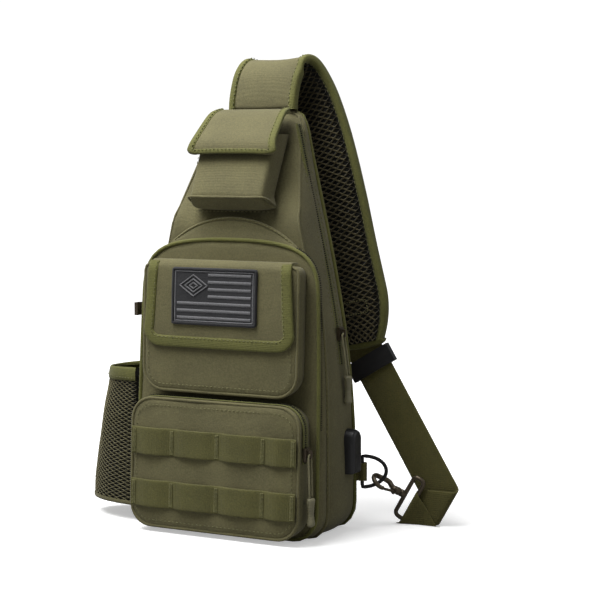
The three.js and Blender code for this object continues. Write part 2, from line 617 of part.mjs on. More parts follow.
// Keeps what lies left or right of the slanting line through a point, and a little over it to bond.
function sideOf(centre, keepLeft) {
  const reach = 150 - 0.4;
  const side = foldSide.clone().multiplyScalar(keepLeft ? -reach : reach);
  const geometry = new THREE.BoxGeometry(300, 200, 600);
  const turn = new THREE.Matrix4().makeRotationY(Math.atan2(foldAxis.x, foldAxis.z));
  geometry.applyMatrix4(turn);
  geometry.translate(centre.x + side.x, centre.y, centre.z + side.z);
  return toSolid(geometry);
}
const foldInner = 2.2;
const backLayer = FOLD.y + foldInner + STRAP.webThick / 2;
const frontLayer = FOLD.y - foldInner - STRAP.webThick / 2;
const foldEnd = new THREE.Vector3(FOLD.x, 0, FOLD.z).addScaledVector(runDirection, 26);
const longRun = webbingRun(webStart, foldEnd, backLayer, STRAP.webWidth).intersect(sideOf(FOLD, true));
const aboveFloor = toSolid(box(-50, 300, 0, 200, 0.4, 500));
const loopInner = EYE.wire + 0.4;
const loopLength = 2 * EYE.half - 3;
const tailRight = new THREE.Vector3(FOLD.x + 20, 0, EYE.z - 2);
const eyePoint = new THREE.Vector3(EYE.x, EYE.y, EYE.z);
const shortRun = webbingRun(new THREE.Vector3(EYE.x - 20, 0, EYE.z - 2), tailRight, frontLayer, loopLength)
  .intersect(sideOf(FOLD, true)).intersect(sideOf(eyePoint, false));
const tailY = EYE.y - loopInner - STRAP.webThick / 2;
const tailRun = webbingRun(new THREE.Vector3(EYE.x - 20, 0, EYE.z - 2),
  new THREE.Vector3(EYE.x + 22, 0, EYE.z - 2), tailY, loopLength)
  .intersect(sideOf(eyePoint, false));
const loopCentre = new THREE.Vector3(EYE.x, (frontLayer + tailY) / 2, EYE.z);
const loopTurn = turnOver(loopCentre, (frontLayer - tailY - STRAP.webThick) / 2, loopLength, false);
const webbing = longRun.add(turnOver(FOLD, foldInner, 41, true)).add(shortRun).add(loopTurn).add(tailRun)
  .intersect(aboveFloor);
add('strap_webbing', toGeometry(webbing), WEBBING);

// The adjuster: a frame with a middle bar, threaded on the webbing's straight run.
const adjusterAt = webStart.clone().addScaledVector(runDirection, 14).setY(backLayer);
const adjusterTurn = new THREE.Matrix4().makeBasis(
  new THREE.Vector3(-runDirection.z, 0, runDirection.x), new THREE.Vector3(0, 1, 0),
  new THREE.Vector3(-runDirection.x, 0, -runDirection.z));
const frameOuter = toSolid(box(-24, 24, -3.2, 3.2, -9, 9));
const frameSlot = toSolid(box(-19.6, 19.6, -1.3, 1.3, -20, 20));
const frameWindow = toSolid(box(-19.6, 19.6, 1, 6, -6, 6));
const adjuster = toGeometry(frameOuter.subtract(frameSlot).subtract(frameWindow));
adjuster.applyMatrix4(adjusterTurn);
adjuster.translate(adjusterAt.x, adjusterAt.y, adjusterAt.z);
add('strap_adjuster', adjuster, BLACK);

// ---- D-ring and its tab -------------------------------------------------------------------------
const ringTurn = THREE.MathUtils.degToRad(RING.turn);
const ringOut = new THREE.Vector3(Math.cos(ringTurn), Math.sin(ringTurn), 0);
const ringNormal = new THREE.Vector3(-Math.sin(ringTurn), Math.cos(ringTurn), 0);
function ringPoint(along, up) {
  return new THREE.Vector3(RING.x, RING.y, RING.z + up).addScaledVector(ringOut, along);
}
const ringPoints = [];
for (let i = 0; i <= 12; i += 1) {
  const angle = -Math.PI / 2 + (Math.PI * i) / 12;
  ringPoints.push(ringPoint(RING.reach * Math.cos(angle), RING.half * Math.sin(angle)));
}
ringPoints.push(ringPoint(-0.6, RING.half * 0.6), ringPoint(-0.6, 0), ringPoint(-0.6, -RING.half * 0.6));
add('d_ring', wireLoop(ringPoints, ringNormal, RING.wire), BLACK);
const tabHole = rod(new THREE.Vector3(RING.x, RING.y, 20), new THREE.Vector3(RING.x, RING.y, 90), 2.7, 16);
const tabLoop = rod(new THREE.Vector3(RING.x, RING.y, RING.z - 8), new THREE.Vector3(RING.x, RING.y, RING.z + 8), 4, 16);
const tabTail = box(97.6, RING.x, BACK_Y - 3.5, BACK_Y - 0.5, RING.z - 8, RING.z + 8);
add('d_ring_tab', toGeometry(toSolid(tabLoop).add(toSolid(tabTail)).subtract(toSolid(tabHole))), WEBBING);

// ---- swivel eye and snap hook -------------------------------------------------------------------
const eyeHalfWidth = 5.5;
const eyePoints = roundedBox(eyeHalfWidth, -EYE.half - 1.5, EYE.half + 1.5, 3.5).map((p) => (
  eyePoint.clone().addScaledVector(foldAxis, p.y).addScaledVector(foldSide, p.x - eyeHalfWidth)));
const eyeNormal = new THREE.Vector3(0, 1, 0);
const hookStart = eyePoint.clone().addScaledVector(foldSide, -2 * eyeHalfWidth);
const mouth = ringPoint(RING.reach * 0.72, -RING.half * 0.69);
const shank = mouth.clone().sub(hookStart).normalize();
const collarEnd = hookStart.clone().addScaledVector(shank, 6.5);
const eyeSolid = toSolid(outwardCopy(wireLoop(eyePoints, eyeNormal, EYE.wire)))
  .add(toSolid(rod(hookStart, collarEnd, 3.4)));
add('swivel_eye', toGeometry(eyeSolid), BRONZE);

const view = new THREE.Vector3(0.45, -0.89, 0.09);
const faceOn = view.clone().addScaledVector(shank, -view.dot(shank)).normalize();
const edgeOn = shank.clone().cross(faceOn).normalize();
const hookNormal = faceOn.clone().multiplyScalar(0.5).addScaledVector(edgeOn, 0.87).normalize();
const hookSide = shank.clone().cross(hookNormal).normalize();
const BEND = 7.2;
const HOOK_WIRE = 2.1;
function hookPoint(along, side) {
  return mouth.clone().addScaledVector(shank, along).addScaledVector(hookSide, side);
}
const hookLength = mouth.distanceTo(collarEnd);
const hookRoute = [hookPoint(-hookLength + 4, 0), hookPoint(-hookLength + 9, 2), hookPoint(-hookLength * 0.5, BEND)];
for (let i = 0; i <= 8; i += 1) {
  const angle = Math.PI / 2 - (Math.PI * 1.12 * i) / 8;
  hookRoute.push(hookPoint(BEND * Math.cos(angle), BEND * Math.sin(angle)));
}
const hookCurve = outwardCopy(tube(hookRoute, HOOK_WIRE, 10, 36));
const hookKnuckle = rod(collarEnd.clone().addScaledVector(shank, GAP), hookPoint(-hookLength + 8, 0), 3.6);
const gateSeat = hookPoint(-hookLength + 8, -3.2);
add('hook_body', toGeometry(toSolid(hookCurve).add(toSolid(hookKnuckle))
  .subtract(toSolid(rod(gateSeat.clone().addScaledVector(hookNormal, -9),
    gateSeat.clone().addScaledVector(hookNormal, 9), 2.5)))), BRONZE);
const gateTip = hookPoint(-4.5, -BEND * 0.95);
const gate = toSolid(rod(gateSeat, gateTip, 1.3, 10))
  .add(toSolid(rod(gateSeat.clone().addScaledVector(hookNormal, -2.4),
    gateSeat.clone().addScaledVector(hookNormal, 2.4), 2)));
add('hook_gate', toGeometry(gate), BRONZE);

export default bag;
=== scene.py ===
import math

import bmesh
import bpy
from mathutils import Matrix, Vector, noise


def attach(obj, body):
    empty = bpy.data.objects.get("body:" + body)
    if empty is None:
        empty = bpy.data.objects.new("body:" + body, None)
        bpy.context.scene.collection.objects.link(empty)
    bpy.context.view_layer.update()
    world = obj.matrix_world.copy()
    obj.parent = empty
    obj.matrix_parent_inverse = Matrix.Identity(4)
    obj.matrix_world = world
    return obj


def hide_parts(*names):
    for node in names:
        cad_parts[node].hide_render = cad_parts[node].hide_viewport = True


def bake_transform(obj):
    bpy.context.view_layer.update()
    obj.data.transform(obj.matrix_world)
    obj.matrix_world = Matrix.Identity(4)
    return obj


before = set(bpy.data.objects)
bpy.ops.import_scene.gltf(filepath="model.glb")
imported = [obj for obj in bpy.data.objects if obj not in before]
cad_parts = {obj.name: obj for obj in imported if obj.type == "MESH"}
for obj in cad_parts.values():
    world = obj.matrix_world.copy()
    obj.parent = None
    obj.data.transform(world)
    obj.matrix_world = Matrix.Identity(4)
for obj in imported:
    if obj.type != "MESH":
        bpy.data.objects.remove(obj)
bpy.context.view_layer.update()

MM = 0.001

# ---- the design's driving sizes, in millimetres ---------------------------------------------------
BODY_HALF, BODY_TOP, CORNER = 96, 385, 24
BACK_Y, SEAM_Y, SLOPE_Z, TOP_Y = 48, -11, 288, 35
LEAN, FRONT_Y, FRONT_TOP, ARCH_TOP = 0.045, -30, 268, 287
WEB_FACE = -54.2                      # face of the webbing pocket, before the lean
POCKET_FACE = -47.2                   # face of the flap pocket, before the lean
FLAP_FACE = -50.3                     # outer face of its flap, before the lean
BODY_N = 120                          # points round a compartment's outline


# ---- camera, light and floor ----------------------------------------------------------------------
def make_camera():
    data = bpy.data.cameras.new("camera")
    data.lens, data.sensor_width = 98.4, 36
    cam = bpy.data.objects.new("camera", data)
    cam.location = (0.7319, -1.3136, 0.345)
    cam.rotation_euler = (math.radians(90 - 5.05), 0, math.radians(27))
    bpy.context.collection.objects.link(cam)
    bpy.context.scene.camera = cam


def area_light(name, place, target, size, power):
    data = bpy.data.lights.new(name, "AREA")
    data.size, data.energy = size, power
    lamp = bpy.data.objects.new(name, data)
    lamp.location = place
    lamp.rotation_euler = (Vector(target) - Vector(place)).to_track_quat("-Z", "Y").to_euler()
    bpy.context.collection.objects.link(lamp)


def make_studio():
    scene = bpy.context.scene
    scene.view_settings.view_transform = "Standard"
    world = bpy.data.worlds.new("studio")
    scene.world = world
    world.use_nodes = True
    tree = world.node_tree
    background = tree.nodes["Background"]
    background.inputs["Color"].default_value = (1, 1, 1, 1)
    background.inputs["Strength"].default_value = 0.22
    bright = tree.nodes.new("ShaderNodeBackground")
    bright.inputs["Color"].default_value = (1, 1, 1, 1)
    bright.inputs["Strength"].default_value = 1.05
    rays = tree.nodes.new("ShaderNodeLightPath")
    mix = tree.nodes.new("ShaderNodeMixShader")
    tree.links.new(rays.outputs["Is Camera Ray"], mix.inputs[0])
    tree.links.new(background.outputs[0], mix.inputs[1])
    tree.links.new(bright.outputs[0], mix.inputs[2])
    tree.links.new(mix.outputs[0], tree.nodes["World Output"].inputs["Surface"])
    area_light("overhead", (-0.3, -0.35, 1.25), (0, 0.02, 0.25), 0.9, 26)
    area_light("front_fill", (-0.9, -1.5, 1.1), (0, 0, 0.3), 1.2, 2.5)
    area_light("right_edge", (1.5, 0.5, 0.9), (0.05, 0.05, 0.25), 0.8, 3)
    mesh = bpy.data.meshes.new("floor")
    mesh.from_pydata([(-9, -9, 0), (9, -9, 0), (9, 9, 0), (-9, 9, 0)], [], [(0, 1, 2, 3)])
    floor = bpy.data.objects.new("floor", mesh)
    bpy.context.collection.objects.link(floor)
    paint, tree, bsdf = shader("floor", 0.9)
    bsdf.inputs["Emission Color"].default_value = (1, 1, 1, 1)
    place = tree.nodes.new("ShaderNodeTexCoord").outputs["Object"]
    reach = tree.nodes.new("ShaderNodeVectorMath")
    reach.operation = "LENGTH"
    tree.links.new(place, reach.inputs[0])
    glow = tree.nodes.new("ShaderNodeMapRange")
    for key, value in zip(("From Min", "From Max", "To Min", "To Max"), (0.2, 0.8, 0.42, 1.0)):
        glow.inputs[key].default_value = value
    tree.links.new(reach.outputs["Value"], glow.inputs["Value"])
    seen = tree.nodes.new("ShaderNodeLightPath")
    lit = maths(tree, "MULTIPLY", glow.outputs[0], seen.outputs["Is Camera Ray"])
    tree.links.new(lit, bsdf.inputs["Emission Strength"])
    pale = maths(tree, "ADD", maths(tree, "MULTIPLY", seen.outputs["Is Camera Ray"], 0.55), 0.3)
    tree.links.new(pale, bsdf.inputs["Base Color"])
    mesh.materials.append(paint)


# ---- materials ------------------------------------------------------------------------------------
def shader(name, roughness, metallic=0.0, sheen=0.0):
    mat = bpy.data.materials.new(name)
    mat.use_nodes = True
    bsdf = mat.node_tree.nodes["Principled BSDF"]
    bsdf.inputs["Roughness"].default_value = roughness
    bsdf.inputs["Metallic"].default_value = metallic
    bsdf.inputs["Sheen Weight"].default_value = sheen
    bsdf.inputs["Sheen Roughness"].default_value = 0.5
    return mat, mat.node_tree, bsdf


def node(tree, kind, **values):
    made = tree.nodes.new(kind)
    for key, value in values.items():
        if key in made.inputs:
            made.inputs[key].default_value = value
        else:
            setattr(made, key, value)
    return made


def maths(tree, operation, a, b=None):
    made = tree.nodes.new("ShaderNodeMath")
    made.operation = operation
    for slot, value in zip(made.inputs, (a, b)):
        if value is None:
            continue
        if isinstance(value, (int, float)):
            slot.default_value = value
        else:
            tree.links.new(value, slot)
    return made.outputs[0]


def shade(color, factor):
    return (color[0] * factor, color[1] * factor, color[2] * factor, 1)


def cloth(name, color, thread=1.1, bump=0.35, mottle=0.16, rough=0.88, sheen=0.25, rib=None):
    """Woven cloth: crossed threads, fine grain, blotchy dye and paler colour on convex edges. rib is a cord's
    pitch.
    """
    mat, tree, bsdf = shader(name, rough, sheen=sheen)
    link = tree.links.new
    place = tree.nodes.new("ShaderNodeTexCoord").outputs["Object"]
    split = tree.nodes.new("ShaderNodeSeparateXYZ")
    link(place, split.inputs[0])
    waves = []
    for axis, pitch in zip("XYZ", rib or (thread, thread, thread)):
        turned = maths(tree, "MULTIPLY", split.outputs[axis], 2 * math.pi / (pitch * MM))
        waves.append(maths(tree, "SINE", turned))
    crossed = maths(tree, "ADD", maths(tree, "ADD", waves[0], waves[1]), waves[2])
    grain = node(tree, "ShaderNodeTexNoise", Scale=700.0, Detail=2.0)
    link(place, grain.inputs["Vector"])
    height = maths(tree, "ADD", maths(tree, "MULTIPLY", crossed, 0.18), grain.outputs["Fac"])
    bumped = node(tree, "ShaderNodeBump", Strength=bump, Distance=0.0006)
    link(height, bumped.inputs["Height"])
    link(bumped.outputs[0], bsdf.inputs["Normal"])
    dye = node(tree, "ShaderNodeTexNoise", Scale=26.0, Detail=4.0, Roughness=0.65)
    link(place, dye.inputs["Vector"])
    speck = maths(tree, "ADD", maths(tree, "MULTIPLY", grain.outputs["Fac"], 0.55),
                  maths(tree, "MULTIPLY", dye.outputs["Fac"], 0.45))
    ramp = tree.nodes.new("ShaderNodeValToRGB")
    ramp.color_ramp.elements[0].position = 0.32
    ramp.color_ramp.elements[1].position = 0.68
    ramp.color_ramp.elements[0].color = shade(color, 1 - mottle * 1.6)
    ramp.color_ramp.elements[1].color = shade(color, 1 + mottle * 1.6)
    link(speck, ramp.inputs[0])
    edge_shape = tree.nodes.new("ShaderNodeNewGeometry")
    edge = node(tree, "ShaderNodeMapRange")
    for key, value in zip(("From Min", "From Max", "To Min", "To Max"), (0.52, 0.62, 0.0, 0.35)):
        edge.inputs[key].default_value = value
    link(edge_shape.outputs["Pointiness"], edge.inputs["Value"])
    mix = node(tree, "ShaderNodeMix", data_type="RGBA")
    link(edge.outputs[0], mix.inputs[0])
    link(ramp.outputs[0], mix.inputs[6])
    mix.inputs[7].default_value = shade(color, 1.5)
    link(mix.outputs[2], bsdf.inputs["Base Color"])
    return mat


def hard(name, color, roughness, metallic, scale=160.0, bump=0.12):
    """Moulded plastic or cast metal: fine pitting and uneven gloss."""
    mat, tree, bsdf = shader(name, roughness, metallic)
    link = tree.links.new
    place = tree.nodes.new("ShaderNodeTexCoord").outputs["Object"]
    grain = node(tree, "ShaderNodeTexNoise", Scale=scale * 6, Detail=3.0)
    link(place, grain.inputs["Vector"])
    bumped = node(tree, "ShaderNodeBump", Strength=bump, Distance=0.0003)
    link(grain.outputs["Fac"], bumped.inputs["Height"])
    link(bumped.outputs[0], bsdf.inputs["Normal"])
    patchy = node(tree, "ShaderNodeTexNoise", Scale=scale, Detail=3.0)
    link(place, patchy.inputs["Vector"])
    ramp = tree.nodes.new("ShaderNodeValToRGB")
    ramp.color_ramp.elements[0].color = shade(color, 0.7)
    ramp.color_ramp.elements[1].color = shade(color, 1.35)
    link(patchy.outputs["Fac"], ramp.inputs[0])
    link(ramp.outputs[0], bsdf.inputs["Base Color"])
    gloss = node(tree, "ShaderNodeMapRange")
    gloss.inputs["To Min"].default_value = roughness * 0.75
    gloss.inputs["To Max"].default_value = min(1, roughness * 1.25)
    link(patchy.outputs["Fac"], gloss.inputs["Value"])
    link(gloss.outputs[0], bsdf.inputs["Roughness"])
    return mat


OLIVE = cloth("olive_fabric", (0.112, 0.101, 0.041), sheen=0.1)
BINDING = cloth("binding", (0.104, 0.104, 0.022), sheen=0.08, thread=1.6, bump=0.5, rib=(9e3, 9e3, 1.5))
ROWS = cloth("load_webbing", (0.082, 0.077, 0.018), sheen=0.08, bump=0.6, rib=(1.7, 9e3, 9e3))
STRAPWEB = cloth("strap_webbing", (0.078, 0.070, 0.014), sheen=0.08, bump=0.6, rib=(1.9, 9e3, 1.9))
MESH = cloth("air_mesh", (0.075, 0.062, 0.024), bump=0.3, sheen=0.15)
NET = cloth("net_strands", (0.115, 0.102, 0.044), bump=0.3, sheen=0.15)
# Near-black: the zip coils' colour, and painted shade inside the bottle sleeve and in the strap mesh holes.
DARK = cloth("near_black_coils_and_painted_shade", (0.010, 0.010, 0.007), sheen=0.0)
THREAD = cloth("thread", (0.150, 0.143, 0.050), bump=0.2, sheen=0.1)
FUZZ = cloth("touch_fastener", (0.02, 0.02, 0.02), bump=0.9)
PATCH_BLACK = cloth("patch_black", (0.016, 0.016, 0.018), bump=0.5, sheen=0.1)
PATCH_GREY = cloth("patch_grey", (0.12, 0.12, 0.125), bump=0.7, sheen=0.3, rib=(0.9, 9e3, 9e3))
CORD = cloth("cord", (0.20, 0.185, 0.10), bump=0.5, sheen=0.1)
BLACK = hard("black_plastic", (0.014, 0.014, 0.015), 0.42, 0.0)
WIRE = hard("black_wire", (0.02, 0.02, 0.02), 0.3, 0.6)
BRONZE = hard("bronze", (0.13, 0.105, 0.075), 0.36, 0.9)
TOGGLE = hard("toggle_plastic", (0.185, 0.172, 0.10), 0.5, 0.0)


# ---- mesh helpers ---------------------------------------------------------------------------------
def piece(name, verts, faces, mat, body, nodes=(), smooth=True, level=0):
    mesh = bpy.data.meshes.new(name)
    mesh.from_pydata([(x * MM, y * MM, z * MM) for x, y, z in verts], [], faces)
    mesh.validate()
    mesh.materials.append(mat)
    for face in mesh.polygons:
        face.use_smooth = smooth
    obj = bpy.data.objects.new(name, mesh)
    bpy.context.collection.objects.link(obj)
    if level:
        mod = obj.modifiers.new("smooth", "SUBSURF")
        mod.levels = mod.render_levels = level
    if body:
        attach(obj, body)
    if nodes:
        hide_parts(*nodes)
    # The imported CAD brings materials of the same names, so Blender adds .001 to some of these.
    return obj


def skin(rings, closed=True, cap_first=True, cap_last=True):
    """Faces between rings of equal length."""
    count = len(rings[0])
    verts = [p for ring in rings for p in ring]
    faces = []
    span = count if closed else count - 1
    for i in range(len(rings) - 1):
        for k in range(span):
            m = (k + 1) % count
            faces.append((i * count + k, i * count + m, (i + 1) * count + m, (i + 1) * count + k))
    if cap_first:
        faces.append(tuple(reversed(range(count))))
    if cap_last:
        faces.append(tuple(range((len(rings) - 1) * count, len(rings) * count)))
    return verts, faces


def soften(points, amount, size, seed):
    """Gentle unevenness of filled cloth, the same each run."""
    moved = []
    for p in points:
        v = Vector(p) / size + Vector((seed, seed * 1.7, seed * 0.3))
        moved.append((p[0] + noise.noise(v) * amount * 0.4,
                      p[1] + noise.noise(v + Vector((9, 4, 2))) * amount, p[2]))
    return moved


def bezier(a, b, c, d, count=14):
    points = []
    for i in range(1, count + 1):
        t = i / count
        u = 1 - t
        points.append(tuple(u ** 3 * a[k] + 3 * u * u * t * b[k] + 3 * u * t * t * c[k] + t ** 3 * d[k]
                            for k in range(2)))
    return points


def arc(cx, cz, radius, start, end, count=8):
    return [(cx + radius * math.cos(math.radians(start + (end - start) * i / count)),
             cz + radius * math.sin(math.radians(start + (end - start) * i / count)))
            for i in range(count + 1)]


def resample(points, count, closed=True):
    loop = points + [points[0]] if closed else points
    lengths = [0.0]
    for a, b in zip(loop, loop[1:]):
        lengths.append(lengths[-1] + math.dist(a, b))
    total, made, j = lengths[-1], [], 0
    steps = count if closed else count - 1
    for i in range(count):
        want = total * i / steps
        while j < len(lengths) - 2 and lengths[j + 1] < want:
            j += 1
        t = (want - lengths[j]) / max(1e-9, lengths[j + 1] - lengths[j])
        made.append(tuple(a + (b - a) * t for a, b in zip(loop[j], loop[j + 1])))
    return made


def mirrored(right):
    left = [(-x, z) for x, z in reversed(right) if x > 1e-6]
    return right + left


def body_outline():
    right = [(0, 0)] + arc(BODY_HALF - CORNER, CORNER, CORNER, -90, 0)
    right += bezier((BODY_HALF, CORNER), (BODY_HALF, 165), (80, 222), (51, 350), 24)
    right += bezier((51, 350), (47, 370), (45, BODY_TOP), (34, BODY_TOP)) + [(0, BODY_TOP)]
    return resample(mirrored(right), BODY_N)


def arch_outline():
    right = [(0, 0)] + arc(BODY_HALF - CORNER, CORNER, CORNER, -90, 0)
    right += bezier((BODY_HALF, CORNER), (BODY_HALF + 1, 110), (BODY_HALF, 170), (88, 215), 20)
    right += bezier((88, 215), (82, 262), (40, ARCH_TOP), (0, ARCH_TOP), 20)
    return resample(mirrored(right), BODY_N)


def front_outline():
    right = [(0, 2)] + arc(BODY_HALF - CORNER - 3, CORNER + 2, CORNER, -90, 0)
    right += bezier((93, 26), (93, 110), (92, 170), (90, 215), 20)
    right += bezier((90, 215), (90, 256), (76, FRONT_TOP), (0, FRONT_TOP), 20)
    return resample(mirrored(right), BODY_N)


def rounded(half, z0, z1, radius, top, count=BODY_N):
    right = [(0, z0)] + arc(half - radius, z0 + radius, radius, -90, 0)
    right += arc(half - top, z1 - top, top, 0, 90) + [(0, z1)]
    return resample(mirrored(right), count)


def outward(outline, distance):
    """The outline moved out by a distance along its own normals."""
    made, count = [], len(outline)
    for i, p in enumerate(outline):
        a, b = outline[i - 1], outline[(i + 1) % count]
        dx, dz = b[0] - a[0], b[1] - a[1]
        size = math.hypot(dx, dz) or 1
        made.append((p[0] + dz / size * distance, p[1] - dx / size * distance))
    return made


def compartment(name, rear, front, rear_y, front_y, bulge, crown, nodes, back_crown=0.0, seed=1.0,
                soft=1.2):
    """A filled, sewn compartment: side wall between two outlines, crowned face and back."""
    rings = []
    steps = 8
    centre_z = sum(z for _, z in front) / len(front)

    def cap(outline, y_at, height, sign):
        made = []
        for ratio in (0.985, 0.95, 0.88, 0.76, 0.6, 0.42, 0.24, 0.08):
            rise = height * (1 - ratio ** 3.2) + (1.6 if ratio < 0.97 else 0.9)
            ring = []
            for x, z in outline:
                px, pz = x * ratio, centre_z + (z - centre_z) * ratio
                ring.append((px, y_at(pz) + sign * rise, pz))
            made.append(ring)
        return made

    for ring in reversed(cap(rear, rear_y, back_crown, 1)):
        rings.append(ring)
    for i in range(steps + 1):
        s = i / steps
        swell = bulge * math.sin(math.pi * s) ** 0.8
        ring = []
        for (ax, az), (bx, bz) in zip(outward(rear, swell), outward(front, swell)):
            x, z = ax + (bx - ax) * s, az + (bz - az) * s
            ring.append((x, rear_y(z) + (front_y(z) - rear_y(z)) * s, max(z, 0.3)))
        rings.append(ring)
    rings += cap(front, front_y, crown, -1)
    rings = [soften(ring, soft, 34, seed) for ring in rings]
    verts, faces = skin(rings)
    verts = [(x, y, max(z, 0.3)) for x, y, z in verts]
    return piece(name, verts, faces, OLIVE, "bag", nodes, level=1)


def lean_y(y):
    return lambda z: y + LEAN * z


def catmull(points, per=8):
    """A smooth run through given points."""
    full = [points[0]] + list(points) + [points[-1]]
    made = []
    for i in range(1, len(full) - 2):
        p0, p1, p2, p3 = full[i - 1:i + 3]
        for j in range(per):
            t = j / per
            made.append(tuple(
                0.5 * (2 * b + (c - a) * t + (2 * a - 5 * b + 4 * c - d) * t * t
                       + (3 * b - a - 3 * c + d) * t ** 3) for a, b, c, d in zip(p0, p1, p2, p3)))
    made.append(tuple(points[-1]))
    return made


def tube(name, path, radius, mat, body, nodes=(), closed=False, flat=1.0, sides=10, level=0):
    """A round or oval roll along a path, turned by the path itself."""
    rings = []
    count = len(path)
    for i, p in enumerate(path):
        a = path[i - 1] if (closed or i) else p
        b = path[(i + 1) % count] if (closed or i + 1 < count) else p
        along = (Vector(b) - Vector(a)).normalized()
        side = along.cross(Vector((0, -1, 0.02))).normalized()
        out = side.cross(along).normalized()
        rings.append([tuple(Vector(p) + side * radius * math.cos(2 * math.pi * k / sides)
                            + out * radius * flat * math.sin(2 * math.pi * k / sides))
                      for k in range(sides)])
    if closed:
        rings.append(rings[0])
    verts, faces = skin(rings, cap_first=not closed, cap_last=not closed)
    obj = piece(name, verts, faces, mat, body, nodes, level=level)
    if closed:
        weld(obj)
    return obj


def weld(obj):
    bm = bmesh.new()
    bm.from_mesh(obj.data)
    bmesh.ops.remove_doubles(bm, verts=bm.verts, dist=1e-6)
    bmesh.ops.recalc_face_normals(bm, faces=bm.faces)
    bm.to_mesh(obj.data)
    bm.free()


def dashes(name, path, step, length, width, height, mat, body, up=(0, -1, 0), across=False, closed=False):
    """Stitches or zip teeth: small rounded bars laid along a path, or across it."""
    dense = resample([tuple(p) for p in path], max(3, int(path_length(path, closed) / step)), closed)
    verts, faces = [], []
    count = len(dense)
    for i in range(count if closed else count - 1):
        p, q = Vector(dense[i]), Vector(dense[(i + 1) % count])
        along = (q - p).normalized()
        normal = Vector(up) if not callable(up) else Vector(up(p))
        side = along.cross(normal).normalized()
        normal = side.cross(along).normalized()
        if across:
            along, side = side, along
        middle = (p + q) / 2
        base = len(verts)
        for a, b, c in ((-1, 0, 0), (-0.7, -1, 0), (0.7, -1, 0), (1, 0, 0), (0.7, 1, 0), (-0.7, 1, 0),
                        (-0.6, 0, 1), (0.6, 0, 1)):
            verts.append(tuple(middle + along * a * length / 2 + side * b * width / 2 + normal * c * height))
        for face in ((0, 1, 6), (1, 2, 7, 6), (2, 3, 7), (3, 4, 7), (4, 5, 6, 7), (5, 0, 6),
                     (5, 4, 3, 2, 1, 0)):
            faces.append(tuple(base + k for k in face))
    return piece(name, verts, faces, mat, body)


def path_length(path, closed=False):
    total = sum(math.dist(a, b) for a, b in zip(path, path[1:]))
    return total + (math.dist(path[-1], path[0]) if closed else 0)


def on_face(points, y_at):
    return [(x, y_at(x, z), z) for x, z in points]


def tape(name, run, y_at, width, thick, mat, body, nodes=(), wrap=0.0, closed=False):
    """A flat tape laid along an XZ run on a face; its inner edge lies to the left of the run."""
    section = [(-wrap, thick * 0.2 - wrap * 2), (-0.9 * (wrap > 0), thick * 0.3), (0.0, thick * 0.75),
               (width * 0.12, thick), (width * 0.5, thick * 1.12), (width * 0.88, thick),
               (width, thick * 0.5), (width, -0.3)]
    rings = []
    count = len(run)
    for i, (x, z) in enumerate(run):
        a = run[i - 1] if (closed or i) else run[0]
        b = run[(i + 1) % count] if (closed or i + 1 < count) else run[-1]
        dx, dz = b[0] - a[0], b[1] - a[1]
        size = math.hypot(dx, dz) or 1
        nx, nz = -dz / size, dx / size
        rings.append([(x + nx * u, y_at(x + nx * u, z + nz * u) - v, z + nz * u) for u, v in section])
    if closed:
        rings.append(rings[0])
    verts, faces = skin(rings, closed=False, cap_first=False, cap_last=False)
    return piece(name, verts, faces, mat, body, nodes, level=1)


# ---- body -----------------------------------------------------------------------------------------
def panel_y(z):
    run = (TOP_Y - SEAM_Y) / (BODY_TOP - SLOPE_Z)
    bend = max(0.0, z - SLOPE_Z + 6)
    return SEAM_Y + 1.9 + bend * run * min(1, bend / 14)


def build_body():
    outline = body_outline()
    compartment("main_body", outline, outline, lambda z: 44.5, lambda z: panel_y(z) + 1.5, 2.2, 1.5,
                ["rear_gusset", "main_front_panel", "back_panel"], back_crown=1.0, seed=2.0)
    back = outward(outline, -7)
    compartment_face("back_air_mesh", back, lambda z: 46.4, 1.6, ["back_mesh"])
    rim = [(x, 45.6, max(z, 1.4)) for x, z in outward(outline, 0.3)]
    tube("back_piping", rim, 1.9, BINDING, "bag", closed=True)
    rim = [(x, panel_y(z) + 1.2, max(z, 1.2)) for x, z in outward(outline, -0.6) if z > 240]
    tube("panel_piping", rim, 1.1, OLIVE, "bag")
    for side, sign in (("right", 1), ("left", -1)):
        run = [(x, z) for x, z in outline if x * sign > 30 and z > 150 and z < 378]
        run.sort(key=lambda p: p[1])
        half = 5
        rings = []
        for (x, z) in run:
            lift = 1.7
            rings.append([(x + sign * (lift + h), 27 + w, z) for w, h in
                          ((-half, -1.2), (-half, 0.3), (-1.6, 0.5), (0, 0.1), (1.6, 0.5), (half, 0.3),
                           (half, -1.2))])
        verts, faces = skin(rings, closed=False, cap_first=False, cap_last=False)
        piece(f"main_zip_band_{side}", verts, faces, BINDING, "bag", [f"main_zip_tape_{side}"], level=1)
        coil = [(x + sign * 2.1, 27, z) for x, z in run]
        dashes(f"main_zip_coil_{side}", coil, 2.0, 2.8, 1.2, 0.9, DARK, "bag", up=(sign, 0, 0), across=True)
        for shift in (-7, 7):
            dashes(f"main_zip_seam_{side}_{'a' if shift < 0 else 'b'}",
                   [(x + sign * 2.0, 27 + shift, z) for x, z in run], 4.2, 2.6, 0.7, 0.5, THREAD, "bag",
                   up=(sign, 0, 0))


def compartment_face(name, outline, y_at, crown, nodes):
    """The quilted air mesh on the back, with sewn channels."""
    centre_z = 170
    rings = []
    for ratio in (1, 0.985, 0.93, 0.84, 0.72, 0.58, 0.42, 0.26, 0.1):
        ring = []
        for x, z in outline:
            px, pz = x * ratio, centre_z + (z - centre_z) * ratio
            groove = sum(math.exp(-((pz - 70 - 75 * k - abs(px) * 0.35) / 3.5) ** 2) for k in range(4))
            rise = (crown if ratio < 0.99 else 0) - 1.1 * groove * (ratio < 0.9)
            ring.append((px, y_at(pz) + rise, pz))
        rings.append(ring)
    verts, faces = skin(rings, cap_first=False)
    return piece(name, verts, faces, MESH, "bag", nodes, level=1)


